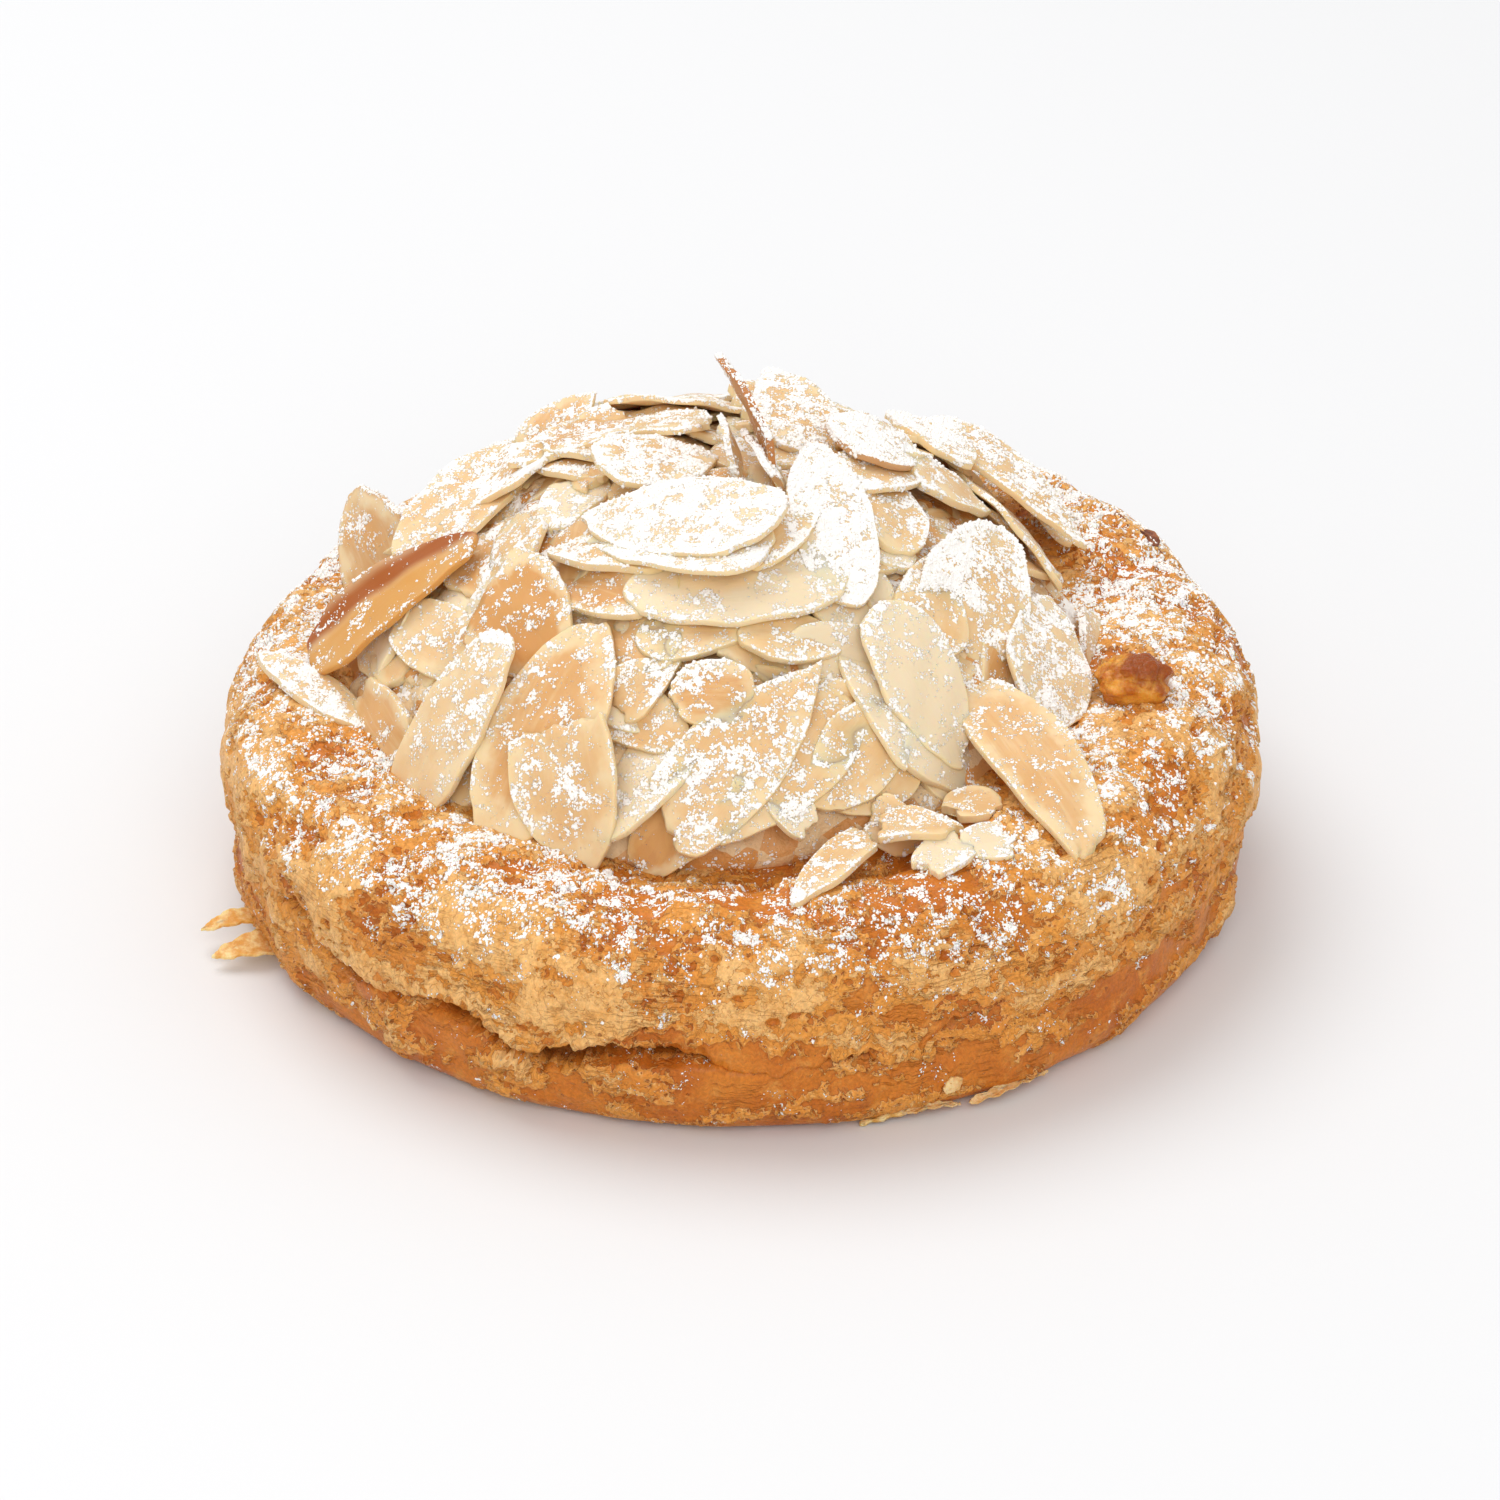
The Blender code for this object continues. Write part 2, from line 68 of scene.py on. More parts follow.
# The drum, as in the solids.
BASE_RADIUS = 51.8
GIRTH_RADIUS = 53.0
GIRTH_HEIGHT = 15.0
SEAM_HEIGHT = 10.4
SEAM_OVERHANG = 0.8
CREST_RADIUS = 44.0
CREST_HEIGHT = 25.7
CREST_RISE_BACK = 2.6
CREST_RISE_RIGHT = 1.3
RECESS_RADIUS = 38.0
RECESS_DEPTH = 2.5
SHOULDER_FULLNESS = 2.3

# The seam's height at each angle round the drum, in degrees.
SEAM_ROUTE = [(-180, 11.5), (-146, 12.5), (-138, 9.5), (-123, 9.8), (-112, 6.9), (-103, 9.4)]
SEAM_ROUTE += [(-95, 9.4), (-89, 8.3), (-79, 9.7), (-73, 8.2), (-66, 11.9), (-48, 14.6)]
SEAM_ROUTE += [(-20, 14.0), (15, 12.0), (60, 10.5), (110, 12.0), (150, 10.5), (180, 11.5)]

# The heap, as in the solids.
HEAP_CENTRE = (-3.0, 3.0)
HEAP_RADIUS = 40.0
HEAP_TOP = 47.0
HEAP_SHARPNESS = 2.2
HEAP_FULLNESS = 0.9
PASTRY_BELOW_HEAP = 5.2
BED_RADIUS = 38.0
BED_DEPTH = 2.4

# One sliced almond.
ALMOND_THICKNESS = 0.8
ALMOND_CAMBER = 0.06
BLUNT_END = 0.5
POINTED_END = 0.75
BROKEN_SHARE = 0.5

# Mesh fineness.
RING_STEPS = 920
WALL_SPACING = 0.36
ALMOND_MESH = (56, 26)
BROKEN_MESH = (32, 14)
SCRAP_MESH = (48, 16)

# The almonds that the front shows. Most lie as in the solids, and some are moved a little, resized
# or added: x, y, heading, length, width, lift, pitch, roll, tone, and which ends are broken off.
SHOWN_ALMONDS = [
    (-44, -7, 140, 15, 5, 4.0, 8, 0, "dusted", "no"),
    (-36, -14, 100, 16, 7, -1.0, 5, -10, "tan", "both"),
    (-26, -22, 55, 14, 8, -2.0, -5, -10, "cream", "any"),
    (-30, -11, -50, 14, 8, -1.0, -15, -5, "cream", "any"),
    (-33, -10, -60, 12, 7, -2.0, -5, 10, "cream", "any"),
    (-38.5, 12.5, 60, 15, 12, 3.0, 50, 0, "edged", "no"),
    (-27, 7, 40, 22, 10.5, 0.5, -5, 25, "cream", "no"),
    (-36, -3, 6, 22, 9.5, 2.8, -10, 8, "toasted", "no"),
    (-21, -15, -80, 17, 12, 0.0, -5, 5, "orange", "tail"),
    (-29, -22.5, -142, 24.5, 9.5, 2.4, -5, 5, "dusted", "tip"),
    (-19.5, -25.5, 55, 25, 12, 0.8, -5, 0, "tan", "no"),
    (-19, -28, 60, 12, 5, -1.8, 0, -10, "ivory", "any"),
    (-17, -31.5, -98, 20, 11, 3.7, -3, 3, "cream", "stub"),
    (-11, -20, 160, 12, 7, -1.0, -15, 0, "tan", "any"),
    (-10, -27, -40, 12, 7, -0.5, 10, -5, "golden", "any"),
    (-14, -15, -35, 12, 7, -0.5, 10, -5, "tan", "any"),
    (-13, -12, -25, 13, 7, 0.5, 5, -20, "golden", "any"),
    (0, -16, 12, 22.5, 11.5, 0.4, 0, -5, "clean", "no"),
    (10, -13, 100, 13, 9, -1.0, -5, 0, "ivory", "any"),
    (9, -8, 105, 20, 9.5, 1.2, 5, 0, "snowy", "no"),
    (15, -2, 105, 14, 8, 0.2, 0, 5, "cream", "tip"),
    (15, -5, 105, 10, 6, -1.2, -10, 0, "ivory", "any"),
    (-6, -12, 165, 21, 10, 1.2, -10, 12, "floured", "no"),
    (-6, -10, 168, 21, 11, 2.2, -10, 0, "floured", "no"),
    (4, -12, 55, 11, 6, 2.0, -5, -5, "cream", "any"),
    (-8, 2, 45, 16, 10, 0.5, -15, 10, "golden", "any"),
    (14, 8, 30, 12, 9, 2.2, -5, 10, "skinned", "any"),
    (14, 3, 50, 14, 8, 0.8, -5, -5, "golden", "any"),
    (-8, 11, -30, 14, 9, 0.4, 5, 0, "cream", "any"),
    (-15, 8, -50, 13, 8, 0.0, 0, -5, "cream", "any"),
    (-17, 6, -55, 12, 7, -0.6, 0, -15, "golden", "any"),
    (-19, 14, 30, 12, 7, 1.2, 25, 30, "tan", "any"),
    (6, 12, 125, 14, 9, 2.0, 18, -15, "golden", "any"),
    (1, 3, 122, 15.5, 8, 4.0, 38, 60, "skin", "no"),
    (-1, 0, 110, 8, 3, 2.2, 40, 60, "golden", "any"),
    (3, -2, 125, 10, 5, 1.6, 20, 50, "skinned", "any"),
    (16, 14, 65, 12, 8, 0.5, -10, -5, "cream", "any"),
    (22, 7, 25, 12, 8, 0.8, -5, 0, "cream", "any"),
    (28, 17, -16, 21, 8.5, 4.4, 2, 26, "sugared", "no"),
    (29, 24, -30, 19, 8, 4.4, -4, 22, "cream", "no"),
    (20, 18, -45, 13, 8, 3.0, 0, 12, "sugared", "no"),
    (24, -7, 84, 20, 12.5, 0.4, 12, 0, "dusted", "tail"),
    (31.5, -10, 112, 16, 10.5, 1.9, 0, -12, "snowy", "no"),
    (36, 1, 115, 10, 4.5, 1.2, 5, 0, "skinned", "any"),
    (29, -28, -64, 26, 9.5, 5.0, -16, 0, "tan", "tip"),
    (18.5, -20.5, -50, 18, 10.5, 0.5, -3, -5, "clean", "no"),
    (19, -12, 100, 13, 8, -0.2, 0, 0, "cream", "any"),
    (14, -23, -65, 15, 7, -0.4, 15, -10, "ivory", "tail"),
    (20, -24, -15, 14, 8, -1.2, -15, -10, "ivory", "any"),
    (19, -24, -55, 12, 7, -1.8, 5, -5, "ivory", "any"),
    (13, -29, -125, 12, 8, 0.2, 0, 0, "cream", "tail"),
    (11, -29, -112, 14, 8.5, 0.8, 5, 0, "cream", "tip"),
    (5, -31, -116, 21, 9, 1.2, 8, 5, "cream", "no"),
    (0, -31, 65, 25, 10.5, 1.5, -5, -5, "sugared", "tail"),
    (-7, -34, -115, 14, 8, -0.4, -10, 5, "orange", "both"),
    (-9, -31, -120, 16, 8, 0.6, 10, 25, "ivory", "tail"),
    (-3, -27, 175, 9, 7, 1.8, 0, 5, "tan", "tip"),
    (-9.5, -24.5, 40, 9, 6, 0.2, 0, -5, "golden", "any"),
    (-4.5, -21, 5, 11, 6, 0.1, 0, -8, "cream", "any"),
    (5, -20.5, -5, 11, 6, 0.1, -5, -8, "cream", "any"),
    (-2, -30, 35, 7, 4, 0.6, 0, 0, "ivory", "any"),
    (9, -40, -125, 14, 5, 3.4, -5, 0, "golden", "tail"),
    (17, -35, -10, 10, 5.5, 4.0, 0, 0, "golden", "both"),
    (20, -39, -130, 8, 5.5, 3.2, -5, -5, "ivory", "both"),
    (24, -37, -160, 8, 5.5, 3.1, 5, -10, "ivory", "both"),
    (23, -31, -5, 7, 5.5, 3.4, 0, 0, "golden", "both"),
    (0, -34.5, 30, 6.5, 4.5, 2.2, -10, 15, "ivory", "both"),
    (5, -34.5, -60, 6.5, 4.5, 2.8, 10, -20, "ivory", "both"),
    (15, -33, -40, 8, 5, 2.6, -15, 20, "cream", "both"),
]

# Which ends are broken off, -1 for a slice's round end and 1 for its pointed end, and how far out
# from its middle as a share of its length. None leaves it to chance.
BREAKS = {
    "no": (),
    "tail": ((-1.0, 0.36),),
    "stub": ((-1.0, 0.26),),
    "tip": ((1.0, 0.39),),
    "both": ((-1.0, 0.32), (1.0, 0.34)),
    "any": None,
}

# How far each tone's middle, rim and one long half are toasted, and its share of the sugar.
TONES = {
    "clean": (0.05, 0.0, 0.0, 0.4),
    "ivory": (0.05, 0.0, 0.0, 0.7),
    "cream": (0.35, 0.05, 0.0, 0.75),
    "golden": (0.45, 0.15, 0.0, 0.9),
    "tan": (0.75, 0.1, 0.0, 0.6),
    "orange": (1.1, 0.15, 0.0, 0.45),
    "edged": (0.7, 0.7, 0.0, 0.8),
    "sugared": (0.5, 0.1, 0.0, 1.45),
    "dusted": (0.25, 0.1, 0.0, 1.5),
    "floured": (0.15, 0.1, 0.0, 1.2),
    "snowy": (0.2, 0.15, 0.0, 1.4),
    "skinned": (0.2, 0.8, 0.0, 1.5),
    "skin": (0.6, 2.0, 0.0, 0.65),
    "toasted": (0.5, 0.5, 1.0, 0.1),
}

# The almonds behind, in rings, as in the solids: radius, number, first angle, last angle, lift.
BACK_RINGS = [
    (32.0, 8, 15.0, 185.0, 0.2),
    (24.0, 6, 35.0, 170.0, 0.4),
    (15.0, 3, 60.0, 150.0, 0.6),
]
BACK_SEED = 7
BACK_TONES = ("cream", "golden", "tan", "ivory")
BACK_LENGTH = (16.0, 23.0)
BACK_WIDTH = (8.0, 10.5)


def smooth(low, high, value):
    """0 below low, 1 above high, and an even ramp with rounded ends between them."""
    t = np.clip((value - low) / (high - low), 0.0, 1.0)
    return t * t * (3.0 - 2.0 * t)


def crest_height(x, y):
    reach = np.maximum(np.hypot(x, y), 1.0)
    return CREST_HEIGHT + (CREST_RISE_RIGHT * x + CREST_RISE_BACK * y) / reach


def heap_form(x, y):
    edge = crest_height(x, y) - RECESS_DEPTH
    out = np.hypot(x - HEAP_CENTRE[0], y - HEAP_CENTRE[1]) / HEAP_RADIUS
    share = np.maximum(1.0 - out**HEAP_SHARPNESS, 0.0) ** HEAP_FULLNESS
    return edge + (HEAP_TOP - edge) * share


def pastry_top(x, y):
    edge = crest_height(x, y) - RECESS_DEPTH
    return np.maximum(heap_form(x, y) - PASTRY_BELOW_HEAP, edge)


def seam_height(x, y):
    angle = np.degrees(np.arctan2(y, x))
    height = np.full(np.shape(angle), float(SEAM_ROUTE[-1][1]))
    for (first, low), (last, high) in zip(SEAM_ROUTE, SEAM_ROUTE[1:]):
        here = (angle >= first) & (angle <= last)
        height = np.where(here, low + (high - low) * smooth(first, last, angle), height)
    return height


class Chain:
    """Adds nodes to a tree, alike for a surface's material and for moving its mesh."""

    def __init__(self, tree):
        self.tree = tree

    def put(self, kind, inputs=None, **settings):
        node = self.tree.nodes.new(kind)
        for name, value in settings.items():
            setattr(node, name, value)
        for slot, value in (inputs or {}).items():
            self.feed(node.inputs[slot], value)
        return node

    def feed(self, socket, value):
        if isinstance(value, bpy.types.NodeSocket):
            self.tree.links.new(value, socket)
        elif socket.type == "RGBA":
            socket.default_value = (*value, 1.0)
        else:
            socket.default_value = value

    def maths(self, operation, first, second=0.0, clamp=False):
        inputs = {0: first, 1: second}
        return self.put("ShaderNodeMath", inputs, operation=operation, use_clamp=clamp).outputs[0]

    def one_by_one(self, operation, values):
        total = values[0]
        for value in values[1:]:
            total = self.maths(operation, total, value)
        return total

    def add(self, *values):
        return self.one_by_one("ADD", values)

    def less(self, first, second):
        return self.maths("SUBTRACT", first, second)

    def times(self, *values):
        return self.one_by_one("MULTIPLY", values)

    def ramp(self, value, low, high, start=0.0, end=1.0):
        """start below low, end above high, and a rounded ramp between them."""
        inputs = {0: value, 1: low, 2: high, 3: start, 4: end}
        return self.put("ShaderNodeMapRange", inputs, interpolation_type="SMOOTHSTEP").outputs[0]

    def step(self, value, level, softness):
        """0 below a level and 1 above it."""
        return self.ramp(value, level - softness, level + softness)

    def scaled(self, vector, amount):
        node = self.put("ShaderNodeVectorMath", {0: vector}, operation="SCALE")
        self.feed(node.inputs["Scale"], amount)
        return node.outputs[0]

    def stretch(self, vector, scales):
        return self.put("ShaderNodeVectorMath", {0: vector, 1: scales}, operation="MULTIPLY").outputs[0]

    def parts(self, vector):
        return self.put("ShaderNodeSeparateXYZ", {0: vector}).outputs

    def reach(self, place):
        """How far a place is from the upright middle line."""
        flat = self.stretch(place, (1.0, 1.0, 0.0))
        return self.put("ShaderNodeVectorMath", {0: flat}, operation="LENGTH").outputs["Value"]

    def noise(self, vector, size, detail=2.0, roughness=0.5):
        """Cloudy noise, about 0.5 on average, with features of that size in the vector's units."""
        inputs = {"Vector": vector, "Scale": 1.0 / size, "Detail": detail, "Roughness": roughness}
        return self.put("ShaderNodeTexNoise", inputs, noise_dimensions="3D").outputs[0]

    def swing(self, vector, size, detail, roughness, amount):
        """The same noise about 0, made that much larger."""
        return self.times(self.less(self.noise(vector, size, detail, roughness), 0.5), amount)

    def fold(self, noise):
        """How far the noise is from its middle, which gives thin creases where it is 0."""
        return self.maths("ABSOLUTE", self.less(noise, 0.5))

    def cells(self, vector, size, feature="F1"):
        inputs = {"Vector": vector, "Scale": 1.0 / size}
        return self.put("ShaderNodeTexVoronoi", inputs, feature=feature).outputs

    def blend(self, share, first, second, mode="MIX"):
        node = self.put("ShaderNodeMix", data_type="RGBA", blend_type=mode, clamp_factor=True)
        self.feed(node.inputs[0], share)
        self.feed(node.inputs[6], first)
        self.feed(node.inputs[7], second)
        return node.outputs[2]

    def stain(self, colour, pattern, strength, tint):
        return self.blend(self.times(pattern, strength), colour, tint)


# Patterns that both a mesh and its material read, on a place in millimetres.

# The value at which each torn layer starts.
FIRST_LAYER = 0.47
SECOND_LAYER = 0.585


def layer_value(chain, place):
    """Where the thin layers are torn away: low is bare, and each layer starts at its own value."""
    x, y, z = chain.parts(place)
    wide = chain.noise(chain.stretch(place, (0.1, 0.1, 0.2)), 1.0, 3.0, 0.55)
    bites = chain.fold(chain.noise(chain.stretch(place, (0.8, 0.8, 1.2)), 2.7, 4.0, 0.62))
    nips = chain.fold(chain.noise(place, 0.8, 2.0, 0.5))
    value = chain.add(wide, 0.092, chain.times(bites, -0.8), chain.times(nips, -0.3))
    windows = chain.cells(chain.stretch(place, (0.3, 0.3, 0.45)), 1.0)[0]
    gate = chain.ramp(chain.noise(place, 7.0), 0.45, 0.6)
    value = chain.less(value, chain.times(chain.ramp(windows, 0.16, 0.3, 0.22, 0.0), gate))
    value = chain.add(value, chain.ramp(z, 8.0, 13.0, -0.07, 0.05))
    torn_crest = chain.times(
        chain.ramp(z, 19.0, 25.0, 0.0, -0.12),
        chain.ramp(y, -44.0, -24.0, 1.0, 0.15),
        chain.ramp(x, 12.0, 32.0, 1.0, 0.2),
    )
    return chain.add(value, torn_crest, chain.ramp(x, -30.0, 15.0, 0.028, -0.028))


# Each size of grain in millimetres, and how much sugar there has to be before it shows.
GRAIN_CELLS = ((0.21, 0.0), (0.4, 0.06), (0.85, 0.3))


def powder_amount(chain, place, density):
    """How much powdered sugar lies at a place: below 0 none, and from 1 up a closed coat."""
    drifts = chain.swing(place, 3.0, 1.0, 0.5, 1.6)
    clumps = chain.swing(place, 1.3, 3.0, 0.6, 2.6)
    return chain.add(density, chain.add(drifts, clumps))


def powder(chain, place, density):
    """Where powdered sugar lies: single grains where it is thin, and a closed coat where it is thick."""
    amount = powder_amount(chain, place, density)
    reach = chain.add(0.32, chain.times(chain.maths("MAXIMUM", amount, 0.0), 0.42))
    uneven = chain.swing(place, 0.22, 2.0, 0.5, 0.9)
    covered = 0.0
    for size, held in GRAIN_CELLS:
        grain = chain.cells(place, size)
        chosen = chain.step(chain.less(amount, chain.add(chain.parts(grain[1])[0], held)), 0.0, 0.02)
        dot = chain.step(chain.less(reach, chain.add(grain[0], uneven)), 0.0, 0.06)
        covered = chain.maths("MAXIMUM", covered, chain.times(chosen, dot))
    return covered


def sky_density(chain, place, sky, facing, amount):
    """How much sugar falls on a place, from how open it is to the sky and how level it is."""
    patchy = chain.noise(place, 9.0, 2.0, 0.5)
    level = chain.ramp(facing, 0.05, 0.85)
    return chain.times(sky, level, chain.ramp(patchy, 0.35, 0.62, 0.65, 1.0), amount)


def crust_sugar(chain, place, sky, facing):
    """Sugar falls on the crest, a little down the shoulder, and in single grains on the wall."""
    x, y, z = chain.parts(place)
    amount = chain.add(chain.ramp(z, 13.0, 23.0, 0.08, 0.5), chain.ramp(y, -20.0, 20.0, 0.0, 0.2))
    drift = chain.times(chain.ramp(x, -40.0, -30.0), chain.ramp(x, -9.0, 4.0, 0.2, -0.07))
    drift = chain.times(drift, chain.ramp(y, -34.0, -28.0, 1.0, 0.0), chain.ramp(z, 22.0, 25.0))
    density = sky_density(chain, place, chain.ramp(sky, 0.2, 0.95), facing, chain.add(amount, drift))
    return chain.less(density, chain.ramp(z, 14.0, 19.0, 0.26, 0.08))


def almond_sugar(chain, place, sky, facing, out, share):
    """Sugar lies thick on the top of the heap, lightly on its slopes, and on the slices' upper rims."""
    z = chain.parts(place)[2]
    amount = chain.times(chain.ramp(z, 35.0, 44.0, 0.42, 0.84), share)
    density = sky_density(chain, place, sky, facing, amount)
    caught = chain.times(chain.ramp(out, 0.86, 0.96), chain.ramp(facing, 0.2, 0.7))
    return chain.add(density, chain.times(caught, sky, 0.28))


# Making and finishing meshes.


def active(obj):
    bpy.ops.object.select_all(action="DESELECT")
    obj.select_set(True)
    bpy.context.view_layer.objects.active = obj


def spun(name, outline, steps):
    """Extrudes a closed outline of (radius, height) from one point, and spins it into a ring."""
    bpy.ops.mesh.primitive_plane_add(size=MM)
    obj = bpy.context.object
    obj.name = name
    bpy.ops.object.mode_set(mode="EDIT")
    bpy.ops.mesh.select_mode(type="VERT")
    bpy.ops.mesh.select_all(action="SELECT")
    bpy.ops.mesh.merge(type="CENTER")
    bpy.ops.transform.translate(value=(outline[0][0] * MM, 0.0, outline[0][1] * MM))
    for (radius, height), (next_radius, next_height) in zip(outline, outline[1:]):
        move = ((next_radius - radius) * MM, 0.0, (next_height - height) * MM)
        bpy.ops.mesh.extrude_region_move(TRANSFORM_OT_translate={"value": move})
    bpy.ops.mesh.select_all(action="SELECT")
    bpy.ops.mesh.remove_doubles(threshold=0.02 * MM)
    bpy.ops.mesh.spin(steps=steps, angle=2.0 * math.pi, center=(0, 0, 0), axis=(0, 0, 1))
    bpy.ops.mesh.select_all(action="SELECT")
    bpy.ops.mesh.remove_doubles(threshold=0.02 * MM)
    bpy.ops.mesh.normals_make_consistent(inside=False)
    bpy.ops.object.mode_set(mode="OBJECT")
    return obj


def even_steps(points, spacing):
    """The same line with its points an even spacing apart."""
    points = np.array(points, float)
    lengths = np.concatenate([[0.0], np.cumsum(np.hypot(*np.diff(points, axis=0).T))])
    count = max(int(round(lengths[-1] / spacing)), 1)
    marks = np.linspace(0.0, lengths[-1], count + 1)
    return list(zip(np.interp(marks, lengths, points[:, 0]), np.interp(marks, lengths, points[:, 1])))


def points_of(obj):
    """The mesh's points in millimetres."""
    flat = np.empty(len(obj.data.vertices) * 3, np.float32)
    obj.data.vertices.foreach_get("co", flat)
    return flat.reshape(-1, 3).astype(float) / MM


def set_points(obj, points):
    obj.data.vertices.foreach_set("co", (points * MM).astype(np.float32).ravel())
    obj.data.update()


def mesh_nodes(name):
    """A new tree for a Geometry Nodes modifier, its chain, and its input and output nodes."""
    tree = bpy.data.node_groups.new(name, "GeometryNodeTree")
    tree.interface.new_socket("Geometry", in_out="INPUT", socket_type="NodeSocketGeometry")
    tree.interface.new_socket("Geometry", in_out="OUTPUT", socket_type="NodeSocketGeometry")
    chain = Chain(tree)
    return chain, chain.put("NodeGroupInput").outputs[0], chain.put("NodeGroupOutput").inputs[0]


def apply_nodes(obj, tree):
    active(obj)
    modifier = obj.modifiers.new(tree.name, "NODES")
    modifier.node_group = tree
    bpy.ops.object.modifier_apply(modifier=modifier.name)


def store(chain, geometry, name, value, kind="FLOAT"):
    inputs = {"Geometry": geometry, "Name": name}
    node = chain.put("GeometryNodeStoreNamedAttribute", inputs, data_type=kind, domain="POINT")
    chain.feed(node.inputs["Value"], value)
    return node.outputs[0]


def stored(chain, name, kind="FLOAT"):
    return chain.put("GeometryNodeInputNamedAttribute", {"Name": name}, data_type=kind).outputs[0]


def in_millimetres(chain, vector):
    return chain.stretch(vector, (1.0 / MM, 1.0 / MM, 1.0 / MM))


def pushed(chain, geometry, direction, millimetres):
    """The geometry with its points moved that far along a direction."""
    offset = chain.scaled(direction, chain.times(millimetres, MM))
    return chain.put("GeometryNodeSetPosition", {"Geometry": geometry, "Offset": offset}).outputs[0]


def copied(obj):
    copy = bpy.data.objects.new("copy", obj.data.copy())
    bpy.context.collection.objects.link(copy)
    return copy


def laid(blank, points, placed):
    """A copy of a blank with its own points, which are in millimetres and laid in a frame."""
    copy = copied(blank)
    set_points(copy, points @ np.array(placed.to_3x3()).T + np.array(placed.translation))
    return copy


def joined(pieces, name):
    active(pieces[0])
    for piece in pieces:
        piece.select_set(True)
    bpy.ops.object.join()
    obj = bpy.context.object
    obj.name = name
    return obj


def finish_piece(obj, material):
    obj.data.materials.clear()
    obj.data.materials.append(material)
    obj.data.shade_smooth()
    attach(obj, "root")


# The pastry.


def crumble(obj, size, rise, fine_rise):
    """Raises rounded crumbs of that size, with finer grit on them, on a piece's upper side."""
    chain, geometry, out = mesh_nodes(obj.name + "_crumbs")
    normal = chain.put("GeometryNodeInputNormal").outputs[0]
    place = in_millimetres(chain, chain.put("GeometryNodeInputPosition").outputs[0])
    crumbs = chain.less(0.6, chain.cells(place, size)[0])
    fine = chain.noise(place, size * 0.375, 4.0, 0.6)
    height = chain.add(chain.times(crumbs, rise), chain.times(fine, fine_rise))
    height = chain.times(height, chain.ramp(chain.parts(normal)[2], 0.0, 0.4))
    chain.feed(out, pushed(chain, geometry, normal, height))
    apply_nodes(obj, chain.tree)


def wall_outline():
    """The drum's wall in its mean section, from the recess over the crest and down to the seam."""
    recess = CREST_HEIGHT - RECESS_DEPTH
    points = []
    for t in np.linspace(0.0, 1.0, 9)[:-1]:
        rise = RECESS_DEPTH * math.sin(t * math.pi / 2.0) ** 2
        points.append((RECESS_RADIUS + t * (CREST_RADIUS - RECESS_RADIUS), recess + rise))
    for angle in np.linspace(0.0, math.pi / 2.0, 80):
        reach = math.sin(angle) ** (2.0 / SHOULDER_FULLNESS)
        drop = max(math.cos(angle), 0.0) ** (2.0 / SHOULDER_FULLNESS)
        radius = CREST_RADIUS + (GIRTH_RADIUS - CREST_RADIUS) * reach
        points.append((radius, GIRTH_HEIGHT + (CREST_HEIGHT - GIRTH_HEIGHT) * drop))
    points.append((GIRTH_RADIUS, SEAM_HEIGHT + 0.5))
    return points


# The lid: its hole inside, the spacing of its flat top, and its lower lip as (radius, height over
# the seam).
LID_INNER = 27.0
LID_SPACING = 0.9
LID_LIP = ((52.8, 0.15), (52.4, 0.0), (51.8, 0.05), (51.0, 0.2), (49.0, 0.4), (44.0, 0.4), (27.0, 0.0))
LID_TEETH = 4.0

# The hollow inside the crest is deep at the front only, within these degrees of its middle.
SHALLOW_DEPTH = 0.5
HOLLOW_MIDDLE = -85.0
HOLLOW_ENDS = (14.0, 34.0)

# The seam: how far the lid curls in over it and the ledge runs in under it, where it gapes, and
# where most.
SEAM_CURL = 1.3
SEAM_LEDGE = 3.6
OPEN_SEAM = (-158.0, -148.0, -98.0, -84.0)
WIDEST = (-111.0, 9.0)

# The band: its ring, and its foot as (height, radius).
BAND_INNER = 44.0
BAND_TOP = 17.0
BAND_WALL = 50.0
FOOT_INNER = 47.5
BAND_FOOT = ((0.0, 48.8), (0.4, 49.9), (1.0, 50.7), (2.0, 51.4), (3.5, 51.9), (5.4, 52.2))
BAND_TEETH = -2.5

# The underside: a plug inside the band, just clear of the floor, with its flat faces inset.
UNDERSIDE_RADIUS = 47.0
UNDERSIDE_HEIGHT = 12.0
UNDERSIDE_LIFT = 0.02
UNDERSIDE_INSET = 5.0


